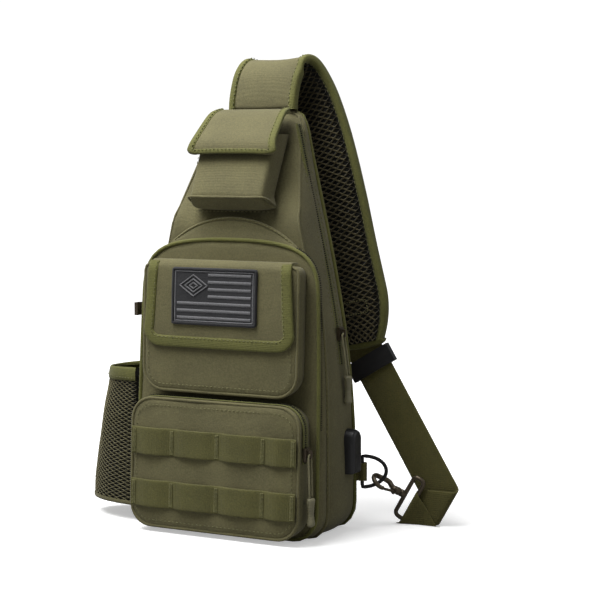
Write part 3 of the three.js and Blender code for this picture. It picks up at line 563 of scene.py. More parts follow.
def build_front():
    rear, front = arch_outline(), front_outline()
    compartment("front_compartment", rear, front, lambda z: SEAM_Y - 2.2, lean_y(FRONT_Y + 1.6), 1.5, 1.0,
                ["divider_panel", "front_gusset", "front_panel"], seed=4.0, soft=0.9)
    arch = [(x, SEAM_Y - 1.6, max(z, 1.6)) for x, z in outward(rear, 0.6)]
    tube("arch_piping", arch, 1.7, OLIVE, "bag", closed=True)
    lip = [(x, FRONT_Y + 0.9 + LEAN * z, max(z, 1.8)) for x, z in outward(front, 0.5)]
    tube("front_zip_piping", lip, 1.9, BINDING, "bag", ["front_zip_tape"], closed=True)
    upper = [p for p in front if p[1] > 100]
    upper.sort(key=lambda p: math.atan2(p[0], p[1] - 150))
    coil = [(x, FRONT_Y + 4.6 + LEAN * z, z) for x, z in shifted_run(upper, 1.6)]
    dashes("front_zip_coil", coil, 2.0, 2.6, 1.2, 1.0, DARK, "bag",
           up=lambda p: (p.x, 0, p.z - 150), across=True)
    seam = [(x, SEAM_Y - 3.6, z) for x, z in outward(rear, 0.9) if z > 40]
    seam.sort(key=lambda p: math.atan2(p[0], p[2] - 120))
    dashes("arch_stitching", seam, 4.2, 2.6, 0.7, 0.5, THREAD, "bag", up=lambda p: (p.x, 0, p.z - 120))


def shifted_run(run, distance):
    """An open run moved sideways by a distance, to the left of its direction."""
    made = []
    for i, p in enumerate(run):
        a, b = run[max(0, i - 1)], run[min(len(run) - 1, i + 1)]
        dx, dz = b[0] - a[0], b[1] - a[1]
        size = math.hypot(dx, dz) or 1
        made.append((p[0] - dz / size * distance, p[1] + dx / size * distance))
    return made


def pocket_trim(name, outline, face_y):
    """Piping round the face and a row of stitches inside it."""
    rim = [(x, face_y(z) + 0.4, z) for x, z in outward(outline, 0.2)]
    tube(f"{name}_piping", rim, 1.5, OLIVE, "bag", closed=True)
    inner = [(x, face_y(z) - 1.9, z) for x, z in outward(outline, -5.5)]
    dashes(f"{name}_stitching", inner, 4.2, 2.6, 0.7, 0.5, THREAD, "bag", closed=True)


def build_webbing_pocket():
    outline = rounded(86, 6, 123, 20, 20)
    compartment("webbing_pocket", outline, outline, lean_y(FRONT_Y - 0.8), lean_y(WEB_FACE + 2.2), 1.2, 1.4,
                ["webbing_pocket_gusset", "webbing_pocket_panel"], seed=6.0)
    pocket_trim("webbing_pocket", outline, lean_y(WEB_FACE + 1.6))
    zip_y = FRONT_Y - 0.3 - 22 + 9
    run = [p for p in outline if p[1] > 70]
    run.sort(key=lambda p: math.atan2(p[0], p[1] - 60))
    half = 4.4
    rings = []
    for (x, z), (ox, oz) in zip(shifted_run(run, 1.5), shifted_run(run, 2.1)):
        y = zip_y + LEAN * z
        rings.append([(x, y - half, z), (ox, y - half, oz), (ox, y - 1.4, oz), (x, y, z), (ox, y + 1.4, oz),
                      (ox, y + half, oz), (x, y + half, z)])
    verts, faces = skin(rings, closed=False, cap_first=False, cap_last=False)
    piece("webbing_pocket_zip_band", verts, faces, BINDING, "bag", ["webbing_pocket_zip"], level=1)
    coil = [(x, zip_y + LEAN * z, z) for x, z in shifted_run(run, 1.9)]
    dashes("webbing_pocket_zip_coil", coil, 2.0, 2.6, 1.2, 0.9, DARK, "bag",
           up=lambda p: (p.x, 0, p.z - 60), across=True)
    for row, centre in (("upper", 84), ("lower", 36)):
        tacks = [-82, -42, 5, 52, 82]
        build_row(row, centre, tacks)


def build_row(row, centre, tacks):
    """Load webbing tacked down at each bar, standing proud between the bars."""
    half = 12.7
    rings = []
    steps = 68
    for i in range(steps + 1):
        x = -85 + 170 * i / steps
        near = min(abs(x - t) for t in tacks)
        rise = 2.6 * (1 - math.exp(-(near / 9) ** 2))
        y = WEB_FACE - 1.4 - rise
        rings.append([(x, y + LEAN * (centre + w) + d, centre + w) for w, d in
                      ((-half, 1.5), (-half, 0.2), (-half + 1, -0.2), (-half / 2, 0), (0, 0), (half / 2, 0),
                       (half - 1, -0.2), (half, 0.2), (half, 1.5))])
    verts, faces = skin(rings, closed=False, cap_first=False, cap_last=False)
    piece(f"load_webbing_{row}", verts, faces, ROWS, "bag", [f"webbing_row_{row}"], level=1)
    for k, t in enumerate(tacks):
        for j, shift in enumerate((-0.9, 0.9)):
            bar = [(t + shift, WEB_FACE - 1.9 + LEAN * z, z) for z in (centre - 11, centre + 11)]
            dashes(f"bar_tack_{row}_{k}_{j}", bar, 1.1, 2.2, 0.8, 0.5, THREAD, "bag", across=True)


def build_flap_pocket():
    outline = rounded(79, 131, 246, 20, 6)
    compartment("flap_pocket", outline, outline, lean_y(FRONT_Y - 0.8), lean_y(POCKET_FACE + 2.0), 1.2, 0.8,
                ["flap_pocket_gusset", "flap_pocket_panel"], seed=8.0, soft=0.8)
    pocket_trim("flap_pocket", outline, lean_y(POCKET_FACE + 1.4))
    for name, y, mat_body in (("pocket_loop_tape", POCKET_FACE - 0.3, "bag"),
                              ("pocket_hook_tape", POCKET_FACE - 1.2, "pocket_flap")):
        verts, faces = grid(-55, 55, 182, 202, lambda x, z, y=y: y + LEAN * z + 0.1 * math.sin(x), 30, 8)
        piece(name, verts, faces, FUZZ, mat_body, [name.replace("tape", "strip")])


def grid(x0, x1, z0, z1, y_at, nx, nz):
    verts, faces = [], []
    for i in range(nz + 1):
        for k in range(nx + 1):
            x, z = x0 + (x1 - x0) * k / nx, z0 + (z1 - z0) * i / nz
            verts.append((x, y_at(x, z), z))
    for i in range(nz):
        for k in range(nx):
            a = i * (nx + 1) + k
            faces.append((a, a + 1, a + nx + 2, a + nx + 1))
    return verts, faces


FLAP_TOP, FLAP_LOW, FLAP_R = 250.5, 172, 16


def flap_y(x, z):
    """Outer face of the pocket flap, a little drawn in at its sides."""
    fall = max(0.0, z - (FLAP_TOP - 7)) / 7
    return (FLAP_FACE + LEAN * z + 5.0 * fall ** 2 + 0.8 * (abs(x) / 77) ** 3
            + 0.5 * noise.noise(Vector((x / 30, 3.3, z / 30))))


def flap_half(z):
    half = 77 - 5 * (z - FLAP_LOW) / (FLAP_TOP - FLAP_LOW)
    rise = z - FLAP_LOW
    if rise < FLAP_R:
        half -= FLAP_R - math.sqrt(max(0, FLAP_R ** 2 - (FLAP_R - rise) ** 2))
    return half


def sheet_rows(rows, nx, name, mat, body, nodes, thick):
    """Cloth made of rows; each row is (half width, y function of x, z)."""
    verts, faces = [], []
    for half, y_at, z_at in rows:
        for k in range(nx + 1):
            x = half * (2 * k / nx - 1)
            verts.append((x, y_at(x), z_at(x)))
    for i in range(len(rows) - 1):
        for k in range(nx):
            a = i * (nx + 1) + k
            faces.append((a, a + 1, a + nx + 2, a + nx + 1))
    obj = piece(name, verts, faces, mat, body, nodes)
    solid = obj.modifiers.new("thickness", "SOLIDIFY")
    solid.thickness, solid.offset = thick * MM, -1.0
    smooth = obj.modifiers.new("smooth", "SUBSURF")
    smooth.levels = smooth.render_levels = 1
    return obj


def build_pocket_flap():
    rows = []
    for i in range(25):
        z = FLAP_LOW + 0.3 + (FLAP_TOP - FLAP_LOW - 0.3) * (i / 24)
        rows.append((flap_half(z), lambda x, z=z: flap_y(x, z), lambda x, z=z: z))
    for k in range(1, 6):
        y = FLAP_FACE + LEAN * 250 + 5 + (FRONT_Y - FLAP_FACE - 6.4) * k / 5
        rows.append((72, lambda x, y=y: y, lambda x, k=k: FLAP_TOP + 0.5 - 0.25 * k))
    sheet_rows(rows, 40, "flap_sheet", OLIVE, "pocket_flap", ["pocket_flap"], 1.6)
    run = [(-flap_half(z) - 0.2, z) for z in frange(FLAP_TOP - 1, FLAP_LOW + FLAP_R, 12)]
    run += [(-(77 - FLAP_R) + FLAP_R * math.cos(math.radians(a)),
             FLAP_LOW + FLAP_R + FLAP_R * math.sin(math.radians(a))) for a in frange(185, 265, 7)]
    run += [(x, FLAP_LOW - 0.2) for x in frange(-55, 55, 14)]
    run += [(-x, z) for x, z in reversed(run[:19])]
    tape("flap_edge_binding", run, lambda x, z: flap_y(x, z) - 0.2, 9.5, 1.3, BINDING, "pocket_flap",
         ["pocket_flap_binding"], wrap=0.8)
    line = on_face(shifted_run(run, 8.0), lambda x, z: flap_y(x, z) - 1.5)
    dashes("flap_binding_stitches_0", line, 4.0, 2.5, 0.7, 0.5, THREAD, "pocket_flap")


def frange(a, b, count):
    return [a + (b - a) * i / (count - 1) for i in range(count)]


def build_patch():
    """A generic embroidered patch: plain bars and a corner field with a stitched lattice."""
    cx, cz, half_w, half_h = -3, 218, 42.5, 24.5

    def y_at(x, z):
        return flap_y(x, z) - 1.0

    verts, faces = grid(cx - half_w, cx + half_w, cz - half_h, cz + half_h, y_at, 40, 24)
    base = piece("patch_ground", verts, faces, PATCH_BLACK, "pocket_flap", ["patch"])
    solid = base.modifiers.new("thickness", "SOLIDIFY")
    solid.thickness, solid.offset = 1.0 * MM, 0.0
    loop = [(-half_w, -half_h), (half_w, -half_h), (half_w, half_h), (-half_w, half_h)]
    dense = resample([(cx + x, cz + z) for x, z in loop], 150)
    tube("patch_border", on_face(dense, lambda x, z: y_at(x, z) - 0.3), 1.5, PATCH_BLACK, "pocket_flap",
         closed=True)
    line = resample([(cx + x * 0.945, cz + z * 0.915) for x, z in loop], 140)
    tube("patch_inner_line", on_face(line, lambda x, z: y_at(x, z) - 0.6), 0.55, PATCH_GREY, "pocket_flap",
         closed=True)
    bars = 7
    pitch = 2 * half_h * 0.86 / (2 * bars - 1)
    for k in range(bars):
        z = cz + half_h * 0.86 - pitch * (2 * k + 0.5)
        left = cx - half_w + 36.5 if k < 4 else cx - half_w + 4.5
        span = frange(left, cx + half_w - 4.5, 24)
        rings = [[(x, y_at(x, z + w) - d, z + w) for w, d in
                  ((-pitch / 2, 0.3), (-pitch / 3, 0.9), (0, 1.1), (pitch / 3, 0.9), (pitch / 2, 0.3))]
                 for x in span]
        v, f = skin(rings, closed=False, cap_first=False, cap_last=False)
        piece(f"patch_bar_{k}", v, f, PATCH_GREY, "pocket_flap")
    block, field = 34, pitch * 7
    left, top = cx - half_w + 4.5, cz + half_h * 0.86
    middle = (left + block / 2, top - field / 2)
    for k, size in enumerate((1.0, 0.62, 0.28)):
        ring = [(middle[0] + sx * size * block * 0.42, middle[1] + sz * size * field * 0.42)
                for sx, sz in ((-1, 0), (0, 1), (1, 0), (0, -1))]
        loop = on_face(resample(ring, 60), lambda x, z: y_at(x, z) - 0.7)
        tube(f"patch_diamond_{k}", loop, 0.6, PATCH_GREY, "pocket_flap", closed=True)


# ---- upper pocket ---------------------------------------------------------------------------------
def build_upper_pocket():
    levels = ((294.5, 41.5, -11.5, 0.0), (300, 41, -19, 0), (306, 38.5, -25.5, 0), (309, 38, -26, 0.3),
              (320, 38, -20.8, 1), (335, 38.5, -13.5, 1.2), (350, 39, -6, 0.8), (364, 39.5, 2, 0))
    rings = []
    for z, half, y, crown in levels:
        back = panel_y(z) + 2.5
        ring = [(-half - 1.5, back, z), (-half - 1.2, (back + y) / 2, z), (-half, y + 4, z),
                (-half + 1.4, y + 1, z)]
        ring += [(x, y - crown * (1 - (x / half) ** 2) + 0.5 * noise.noise(Vector((x / 18, z / 18, 5))), z)
                 for x in frange(-half + 4, half - 4, 15)]
        ring += [(-x, yy, zz) for x, yy, zz in reversed(ring[:4])]
        rings.append(ring)
    verts, faces = skin(rings, cap_last=False)
    piece("upper_pocket", verts, faces, OLIVE, "bag", ["upper_pocket_panel", "upper_pocket_gusset"], level=2)
    edge = catmull([(-41, -8, 300), (-38.6, -25, 307), (-20, -26.4, 307.3), (0, -26.6, 307.4),
                    (20, -26.4, 307.3), (38.6, -25, 307), (41, -8, 300)], 6)
    tube("upper_pocket_piping", edge, 1.2, OLIVE, "bag")
    seam = catmull([(-42, -9.5, 294), (-20, -12.5, 294), (0, -13, 294), (20, -12.5, 294), (42, -9.5, 294)], 6)
    dashes("upper_pocket_foot_stitches", seam, 4.0, 2.6, 0.8, 0.5, THREAD, "bag", up=(0, -1, 0.3))
    for name, depth, body in (("upper_loop_strip", 0.9, "bag"), ("upper_hook_strip", 1.8, "upper_flap")):
        verts, faces = grid(-22, 22, 347.5, 353, lambda x, z, d=depth: -25 + (z - 306) * 0.479 - d, 24, 5)
        piece(name.replace("strip", "tape"), verts, faces, FUZZ, body, [name])


UPPER_PROFILE = [(31, 386.8), (22, 385.4), (13, 381.4), (1, 371), (-9, 361.5), (-13.4, 356), (-15.2, 351),
                 (-15.8, 346.5)]


def upper_flap_point(s):
    line = catmull(UPPER_PROFILE, 5)
    t = s * (len(line) - 1)
    i = min(len(line) - 2, int(t))
    a, b = line[i], line[i + 1]
    return a[0] + (b[0] - a[0]) * (t - i), a[1] + (b[1] - a[1]) * (t - i)


def upper_half(s):
    half = 37 + 9 * min(1, s * 1.15)
    rest = (1 - s) * 52
    if rest < 8:
        half -= 8 - math.sqrt(max(0, 64 - (8 - rest) ** 2))
    return half


def upper_place(u, s, lift=0.0):
    """A point on the upper flap: u from -1 to 1 across, s from 0 at the seam to 1 at the lip."""
    y, z = upper_flap_point(s)
    y2, z2 = upper_flap_point(min(1, s + 0.02))
    y1, z1 = upper_flap_point(max(0, s - 0.02))
    dy, dz = y2 - y1, z2 - z1
    size = math.hypot(dy, dz)
    droop = 1.6 * abs(u) ** 4 * s
    return (u * upper_half(s), y + dz / size * lift + droop * 0.4, z - dy / size * lift - droop)


def build_upper_flap():
    rows = []
    for i in range(25):
        s = i / 24
        rows.append([upper_place(2 * k / 24 - 1, s) for k in range(25)])
    verts, faces = skin(rows, closed=False, cap_first=False, cap_last=False)
    obj = piece("upper_flap_sheet", verts, faces, OLIVE, "upper_flap", ["upper_flap"])
    solid = obj.modifiers.new("thickness", "SOLIDIFY")
    solid.thickness, solid.offset = 1.5 * MM, 0.0
    smooth = obj.modifiers.new("smooth", "SUBSURF")
    smooth.levels = smooth.render_levels = 1
    edge = [(-1, s) for s in frange(0.04, 0.9, 16)] + [(-0.93, 0.965)]
    edge += [(u, 1.0) for u in frange(-0.8, 0.8, 17)]
    edge += [(0.93, 0.965)] + [(1, s) for s in frange(0.9, 0.04, 16)]
    rings = []
    for u, s in edge:
        ring = []
        for w, h in ((0, -1.6), (-0.035, -0.6), (-0.035, 0.6), (0, 1.7), (0.45, 2.1), (0.9, 1.8), (1.0, 1.0)):
            across = w * 7.0 / 44
            if abs(u) > 0.99:
                pu, ps = u * (1 - across), s
            elif abs(u) > 0.9:
                pu, ps = u * (1 - across * 0.8), s - w * 7 * 0.7 / 52
            else:
                pu, ps = u, s - w * 7.0 / 52
            ring.append(upper_place(pu, max(0, min(1, ps)), h))
        rings.append(ring)
    verts, faces = skin(rings, closed=False, cap_first=False, cap_last=False)
    piece("upper_flap_edge_binding", verts, faces, BINDING, "upper_flap", ["upper_flap_binding"], level=1)
    line = [upper_place(u * (1 - 0.125), s, 2.1) if abs(u) > 0.9 else upper_place(u, s - 0.11, 2.1)
            for u, s in edge if abs(u) > 0.99 or abs(u) < 0.82]
    dashes("upper_flap_stitches", line, 4.0, 2.5, 0.7, 0.5, THREAD, "upper_flap", up=(0, -0.8, 0.6))


# ---- bottle pocket --------------------------------------------------------------------------------
def bottle_point(angle, z, grow=0.0):
    """A point on the sleeve: angle 0 at the back seam to 180 at the front seam, round the outside."""
    t = (z - 14) / 132
    reach = 66 - 20 * t ** 1.3 + 1.5 * math.sin(t * 5) + grow
    half_y = 33 - t + grow
    a = math.radians(90 + angle)
    wrinkle = 1.0 * noise.noise(Vector((angle / 22, z / 30, 1.5)))
    return (-98.5 + (reach + wrinkle) * math.cos(a), 10 + (half_y + wrinkle) * math.sin(a), z)


def build_bottle_pocket():
    # Painted shade: a near-black sheet inside the sleeve and over the bag's side behind the net.
    dark = [[bottle_point(a, z, -1.6) for a in frange(0, 180, 40)] for z in frange(16, 138, 24)]
    dark = [ring + [(-98.6, y, ring[0][2]) for y in frange(-21, 41, 8)] for ring in dark]
    verts, faces = skin(dark, cap_first=False, cap_last=False)
    piece("bottle_sleeve_inside", verts, faces, DARK, "bag", ["bottle_sleeve"])
    columns, levels = 40, 62
    verts, faces, index = [], [], {}

    def corner(i, j):
        if (i, j) not in index:
            index[(i, j)] = len(verts)
            verts.append(bottle_point(180 * i / columns, 16 + 119 * j / levels, -0.6))
        return index[(i, j)]

    for j in range(1, levels):
        for i in range(1, columns):
            if (i + j) % 2 == 0:
                faces.append((corner(i - 1, j), corner(i, j - 1), corner(i + 1, j), corner(i, j + 1)))
    net = piece("bottle_net", verts, faces, NET, "bag")
    wires = net.modifiers.new("strands", "WIREFRAME")
    wires.thickness, wires.use_replace, wires.use_even_offset = 1.25 * MM, True, False
    rings = []
    hem_levels = ((133.5, 0), (134, 1.2), (137, 1.7), (141, 1.8), (145, 1.5), (146.5, 0.6), (146.3, -0.9),
                  (143, -1.2))
    for z, grow in hem_levels:
        ring = [bottle_point(a, z, grow) for a in frange(0, 180, 36)]
        sag = [(x, y, z2 - 2.5 * math.sin(math.radians(180 * k / 35)) ** 2)
               for k, (x, y, z2) in enumerate(ring)]
        rings.append(sag)
    verts, faces = skin(rings, closed=False, cap_first=False, cap_last=False)
    piece("bottle_hem_band", verts, faces, BINDING, "bag", ["bottle_hem"], level=1)
    line = [bottle_point(a, 136.2, 1.9) for a in frange(2, 178, 50)]
    dashes("bottle_hem_stitches", line, 3.8, 2.4, 0.7, 0.5, THREAD, "bag",
           up=lambda p: (p.x + 98.5, p.y - 10, 0))
    rings = [[bottle_point(a, z, g) for a in frange(0, 180, 40)] for z, g in
             ((19, 0.5), (17, 0.9), (15, 0.6), (14.2, -2))]
    rings.append([(-98.5 + (x + 98.5) * 0.55, 10 + (y - 10) * 0.55, 14.1) for x, y, z in rings[-1]])
    rings.append([(-98.5 + (x + 98.5) * 0.1, 10 + (y - 10) * 0.1, 14.1) for x, y, z in rings[-1]])
    verts, faces = skin(rings, closed=False, cap_first=False, cap_last=False)
    piece("bottle_base_cloth", verts, faces, OLIVE, "bag", ["bottle_base"], level=1)


# ---- strap ----------------------------------------------------------------------------------------
PAD_ROUTE = [(3, 41, 386.5), (3, 43, 400), (4, 50, 419), (7, 62, 430), (13, 74, 423), (22, 81, 404),
             (32, 84, 378), (42, 86, 345), (53, 88, 300), (63, 89, 255), (74, 90, 209), (83, 91, 168)]


def strap_stations(count):
    dense = resample(catmull(PAD_ROUTE, 10), count, closed=False)
    stations = []
    for i, p in enumerate(dense):
        a, b = Vector(dense[max(0, i - 1)]), Vector(dense[min(count - 1, i + 1)])
        along = (b - a).normalized()
        across = (Vector((1, 0, 0)) - along * along.x).normalized()
        out = across.cross(along).normalized()
        t = i / (count - 1)
        width = 70 if t < 0.86 else 70 - 26 * ((t - 0.86) / 0.14) ** 2
        stations.append((Vector(p), across, out, width, t))
    return stations


def bend_at_sewn_end(obj):
    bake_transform(obj)


def strap_piece(name, section, mat, nodes, start=0.0, end=1.0, count=90, level=1, cap=False):
    rings = []
    for p, across, out, width, t in strap_stations(count):
        if start <= t <= end:
            rings.append([tuple(p + across * (u * width / 2 + du) + out * v) for u, du, v in section])
    verts, faces = skin(rings, closed=True, cap_first=cap, cap_last=cap)
    obj = piece(name, verts, faces, mat, None, nodes, level=level)
    bend_at_sewn_end(obj)
    return obj


def build_strap():
    half = 4.0
    pad = [(-1, 2, half * 0.8), (-0.6, 0, half + 0.2), (0, 0, half + 0.6), (0.6, 0, half + 0.2),
           (1, -2, half * 0.8),
           (1, -0.6, 0), (1, -2, -half * 0.8), (0.6, 0, -half), (0, 0, -half), (-0.6, 0, -half),
           (-1, 2, -half * 0.8), (-1, 0.6, 0)]
    strap_piece("pad_cloth", pad, OLIVE, ["strap_root", "strap_pad"], cap=True)
    for side, sign in (("right", 1), ("left", -1)):
        roll = [(sign, 0.3 * sign, 0), (sign, 0, 3.6), (sign, -1.5 * sign, 4.9), (sign, -4 * sign, 5.1),
                (sign, -7 * sign, 4.9), (sign, -7.2 * sign, 0), (sign, -7 * sign, -4.7),
                (sign, -4 * sign, -5.0),
                (sign, -1.5 * sign, -4.8), (sign, 0, -3.4)]
        strap_piece(f"pad_binding_{side}", roll, BINDING, [])
        for face, v in (("outer", 5.2), ("inner", -5.1)):
            line = [tuple(p + across * sign * (width / 2 - 6) + out * v)
                    for p, across, out, width, t in strap_stations(90)]
            obj = dashes(f"pad_stitches_{side}_{face}", line, 4.2, 2.6, 0.8, 0.5, THREAD, None,
                         up=(0, 1 if v > 0 else -1, 0.15))
            bend_at_sewn_end(obj)
    build_strap_mesh()
    end = strap_stations(90)[-1]
    cap_path = []
    for a in frange(180, 0, 17):
        u, w = math.cos(math.radians(a)), math.sin(math.radians(a))
        down = end[1].cross(end[2])
        cap_path.append(tuple(end[0] + end[1] * u * 21 + down * (-1) * (w * 3 - 1.5)))
    tube("pad_end_binding", cap_path, 4.6, BINDING, "strap")


def build_strap_mesh():
    """Knitted spacer mesh: a net of diamond holes over a core painted near-black, painted shade in the holes.
    """
    stations = strap_stations(110)
    inner = [station for station in stations if station[4] > 0.02]
    columns = 12
    verts, faces, index = [], [], {}

    def corner(i, j):
        if (i, j) not in index:
            p, across, out, width, t = inner[j]
            u = (i / columns * 2 - 1) * (width / 2 - 6)
            index[(i, j)] = len(verts)
            verts.append(tuple(p + across * u - out * 5.3))
        return index[(i, j)]

    for j in range(1, len(inner) - 1):
        for i in range(1, columns):
            if (i + j) % 2 == 0:
                faces.append((corner(i - 1, j), corner(i, j - 1), corner(i + 1, j), corner(i, j + 1)))
    net = piece("pad_air_mesh", verts, faces, MESH, None, ["strap_mesh"])
    wires = net.modifiers.new("strands", "WIREFRAME")
    wires.thickness, wires.use_replace, wires.use_even_offset = 2.3 * MM, True, False
    bend_at_sewn_end(net)
    # The core is painted near-black: painted shade seen through the mesh holes.
    core = []
    for p, across, out, width, t in inner:
        core.append([tuple(p + across * u * (width / 2 - 6.5) - out * 4.5) for u in (-1, -0.5, 0, 0.5, 1)])
    verts, faces = skin(core, closed=False, cap_first=False, cap_last=False)
    back = piece("pad_mesh_core", verts, faces, DARK, None)
    bend_at_sewn_end(back)
    low = inner[-12]
    box = [tuple(low[0] + low[1] * u - low[2] * 6.3 + low[1].cross(low[2]) * v)
           for u, v in ((-15, -6), (15, -6), (15, 6), (-15, 6))]
    dashes("pad_box_stitch", box, 2.6, 2.0, 1.0, 0.6, THREAD, "strap", closed=True)


WEB_START, FOLD = Vector((85, 91, 161)), Vector((170, 88, 19.5))
RUN = Vector((85, 0, -141.5)).normalized()
FOLD_AXIS = Vector((1 - RUN.x, 0, -RUN.z)).normalized()
FOLD_SIDE = Vector((FOLD_AXIS.z, 0, -FOLD_AXIS.x))


def folded(d, radius=3.0, reach=26.0, small=3.0):
    """(sideways place, depth) of the webbing a distance d past its fold: back, then round the eye."""
    turn = math.pi * radius
    if d < 0:
        return d, 0.0
    if d < turn:
        return radius * math.sin(d / radius), -radius * (1 - math.cos(d / radius))
    d -= turn
    if d < reach:
        return -d, -2 * radius
    d -= reach
    turn = math.pi * small
    if d < turn:
        return -reach - small * math.sin(d / small), -2 * radius - small * (1 - math.cos(d / small))
    d -= turn
    close = min(1, d / 14)
    return -reach + d, -2 * radius - 2 * small + close * (2 * small - 2.2)


def build_webbing():
    total = (FOLD - WEB_START).length
    across = Vector((-RUN.z, 0, RUN.x))
    steps, columns = 150, 12
    length = total + 84
    front, back = [], []
    for i in range(steps + 1):
        s = -10 + (length + 10) * i / steps
        row_f, row_b = [], []
        for k in range(columns + 1):
            w = 19 * (2 * k / columns - 1)
            flat = WEB_START + RUN * s + across * w
            rel = flat - FOLD
            f, d = rel.dot(FOLD_AXIS), rel.dot(FOLD_SIDE)
            side, depth = folded(d)
            side2, depth2 = folded(d + 0.5)
            tangent = Vector((side2 - side, depth2 - depth)).normalized()
            normal = Vector((-tangent.y, tangent.x))
            for row, shift in ((row_f, 0.75), (row_b, -0.75)):
                p = Vector((FOLD.x, 91, FOLD.z)) + FOLD_AXIS * f + FOLD_SIDE * (side + normal.x * shift)
                p.y += depth + normal.y * shift
                row.append((p.x, p.y, max(0.5, p.z)))
        front.append(row_f)
        back.append(row_b)
    rings = [f + list(reversed(b)) for f, b in zip(front, back)]
    verts, faces = skin(rings)
    piece("webbing_cloth", verts, faces, STRAPWEB, "strap", ["strap_webbing"], level=1)


# ---- hardware -------------------------------------------------------------------------------------
def wire(name, path, radius, mat, body, nodes, closed=True, sides=14):
    rings, count = [], len(path)
    reference = None
    for i, p in enumerate(path):
        a = path[i - 1] if (closed or i) else path[0]
        b = path[(i + 1) % count] if (closed or i + 1 < count) else path[-1]
        along = (Vector(b) - Vector(a)).normalized()
        if reference is None:
            reference = along.orthogonal().normalized()
        reference = (reference - along * reference.dot(along)).normalized()
        other = along.cross(reference)
        r = radius(i / (count - 1)) if callable(radius) else radius
        rings.append([tuple(Vector(p) + reference * r * math.cos(2 * math.pi * k / sides)
                            + other * r * math.sin(2 * math.pi * k / sides)) for k in range(sides)])
    if closed:
        rings.append(rings[0])
    verts, faces = skin(rings, cap_first=not closed, cap_last=not closed)
    obj = piece(name, verts, faces, mat, body, nodes)
    if closed:
        weld(obj)
    return obj


def build_ring():
    turn = math.radians(34)
    out = Vector((math.cos(turn), math.sin(turn), 0))
    centre = Vector((103, 49, 53))
    path = [centre + out * 22 * math.cos(a) + Vector((0, 0, 14.5 * math.sin(a)))
            for a in frange(-math.pi / 2, math.pi / 2, 33)]
    path += [centre + out * -0.6 + Vector((0, 0, 14.5 * k)) for k in frange(0.8, -0.8, 9)]
    wire("d_ring_wire", [tuple(p) for p in path], 1.75, WIRE, "ring", ["d_ring"])
    rings = []
    for k, z in enumerate(frange(44.6, 61.4, 10)):
        ring = []
        for a in frange(0, 330, 12):
            r = math.radians(a)
            ring.append((103 + 3.9 * math.cos(r), 49 + 3.9 * math.sin(r), z))
        rings.append(ring)
    verts, faces = skin(rings, cap_first=False, cap_last=False)
    tab = piece("ring_tab_cloth", verts, faces, STRAPWEB, "bag", ["d_ring_tab"])
    solid = tab.modifiers.new("thickness", "SOLIDIFY")
    solid.thickness, solid.offset = 1.2 * MM, -1.0
    tail_outline = ((100.4, 45.9), (97, 45.0), (95, 45.6), (95, 48), (97, 48.4), (100.4, 49.2))
    tail_rings = [[(x, y, z) for x, y in tail_outline] for z in frange(44.6, 61.4, 8)]
    verts, faces = skin(tail_rings)
    piece("ring_tab_tail", verts, faces, STRAPWEB, "bag")


def build_hook():
    turn = math.radians(34)
    out = Vector((math.cos(turn), math.sin(turn), 0))
    mouth = Vector((103, 49, 53)) + out * 22 * 0.72 + Vector((0, 0, -14.5 * 0.69))
    eye = Vector((141, 81.5, 22.5))
    start = eye - FOLD_SIDE * 11
    shank = (mouth - start).normalized()
    view = Vector((0.45, -0.89, 0.09))
    face_on = (view - shank * view.dot(shank)).normalized()
    edge_on = shank.cross(face_on).normalized()
    normal = (face_on * 0.5 + edge_on * 0.87).normalized()
    side = shank.cross(normal).normalized()
    collar = start + shank * 6.5
    length = (mouth - collar).length
    bend = 7.2

    def place(along, off):
        return mouth + shank * along + side * off

    loop = [eye + FOLD_SIDE * (x - 5.5) + FOLD_AXIS * z for x, z in rounded(5.5, -21.5, 21.5, 4, 4, 60)]
    wire("eye_wire", [tuple(p) for p in loop], 2.05, BRONZE, "eye", ["swivel_eye"])
    knob = [start + shank * t for t in (-1.5, -0.5, 0.8, 2, 3.4, 4.6, 5.8, 6.4)]
    widths = (1.0, 2.8, 3.6, 3.9, 3.3, 3.7, 3.4, 2.6)
    wire("swivel_post", [tuple(p) for p in knob], lambda t: widths[round(t * 7)], BRONZE, "eye", [],
         closed=False)
    route = [place(-length + 4, 0), place(-length + 9, 2), place(-length * 0.5, bend)]
    sweep = frange(math.pi / 2, math.pi / 2 - 1.12 * math.pi, 9)
    route += [place(bend * math.cos(a), bend * math.sin(a)) for a in sweep]
    path = catmull([tuple(p) for p in route], 8)
    wire("hook_wire", path, lambda t: 2.6 - 0.7 * t, BRONZE, "hook", ["hook_body"], closed=False)
    base = [collar + shank * t for t in (0.4, 1.2, 2.6, 4.2, 6, 8, 9.5)]
    wide = (2.6, 3.7, 3.9, 3.5, 3.8, 3.3, 2.0)
    wire("hook_knuckle", [tuple(p) for p in base], lambda t: wide[round(t * 6)], BRONZE, "hook", [],
         closed=False)


def build_cord(name, body, x, y, z, flare):
    half, run, mid = 2.6, 38, x + 4.9
    route = [(mid + flare, y - half, z - run), (mid + flare / 2, y - half, z - run * 0.5),
             (mid, y - half, z - 5),
             (mid, y - 2.2, z - 1), (mid, y, z + 0.1), (mid, y + 2.2, z - 1), (mid, y + half, z - 5),
             (mid + flare / 2, y + half, z - run * 0.5), (mid + flare, y + half, z - run)]
    path = catmull(route, 5)
    obj = wire(f"{name}_cord_braid", path, 0.95, CORD, body, [f"{name}_pull_cord"], closed=False, sides=10)
    grip = toggle_grip(name, body, mid + flare, y, z - run - 0.3)
    path_length(path) * MM


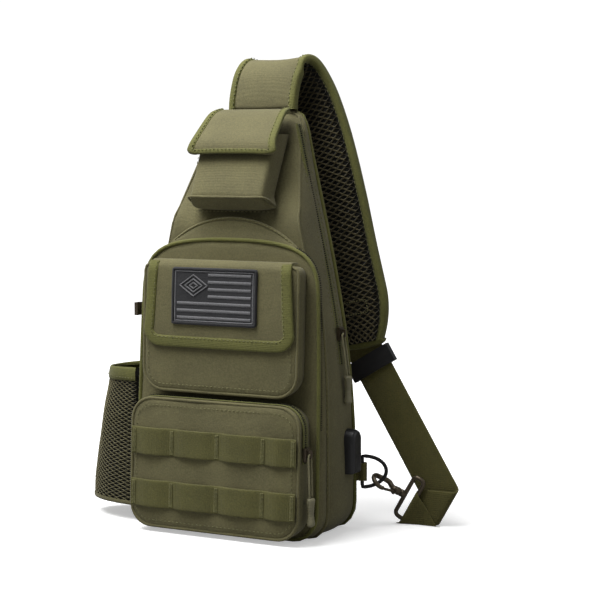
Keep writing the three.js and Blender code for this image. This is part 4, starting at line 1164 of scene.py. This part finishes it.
def toggle_grip(name, body, x, y, z):
    """Moulded grip with a waist and finger ribs."""
    rings = []
    for t in frange(0, 26, 40):
        r = 3.9 + 0.7 * math.cos(t / 26 * 2 * math.pi) + 0.22 * math.sin(t * 2.6) * (6 < t < 20)
        if t < 1.5:
            r *= 0.72 + 0.28 * t / 1.5
        if t > 23:
            r *= math.sqrt(max(0.1, 1 - ((t - 23) / 3.2) ** 2))
        turns = [2 * math.pi * k / 20 for k in range(20)]
        rings.append([(x + r * 0.82 * math.cos(a), y + r * math.sin(a), z - t) for a in turns])
    verts, faces = skin(rings)
    return piece(f"{name}_grip", verts, faces, TOGGLE, body, [f"{name}_toggle"])


def build_port():
    """Moulded port housing: rounded top, flat mouth below, a raised rim."""
    x0, reach, y0, z0 = 97.2, 9.5, 31, 54.5
    rings = []
    for depth, inset in ((-1.2, 0), (0.5, 0), (6.6, 0.4), (8.4, 1.4), (9.3, 3.2), (9.5, 5.0), (9.3, 7.0)):
        half, low, high = 10 - inset, z0 + inset * 0.5, z0 + 41 - inset
        shape = [(-half, low), (half, low)] + [(half * math.cos(a), high - half + half * math.sin(a))
                                              for a in frange(0, math.pi, 16)]
        rings.append([(x0 + depth, y0 + yy, zz) for yy, zz in resample(shape, 60)])
    verts, faces = skin(rings, cap_first=False)
    piece("port_body", verts, faces, BLACK, "bag", ["port_housing"], level=1)


def finish_cad_nodes():
    """Carried-over CAD nodes keep their shape and get a detailed material."""
    looks = {"main_zip_slider": BRONZE, "webbing_pocket_zip_slider": BRONZE, "front_zip_slider": BRONZE,
             "socket_shell": BRONZE, "socket_tongue": BLACK, "strap_adjuster": BLACK, "hook_gate": BRONZE}
    for name, mat in looks.items():
        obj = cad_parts[name]
        obj = obj if isinstance(obj, bpy.types.Object) else bpy.data.objects[name]
        obj.data.materials.clear()
        obj.data.materials.append(mat)


make_camera()
build_cord("main_zip", "main_pull", 88.5, 27, 183, 4.7)
build_cord("webbing_pocket_zip", "webbing_pocket_pull", 87.6, FRONT_Y - 0.3 - 22 + 9 + LEAN * 82, 82, 1)
make_studio()
build_body()
build_front()
build_webbing_pocket()
build_flap_pocket()
build_pocket_flap()
build_patch()
build_upper_pocket()
build_upper_flap()
build_bottle_pocket()
build_strap()
build_webbing()
build_ring()
build_hook()
build_port()
finish_cad_nodes()
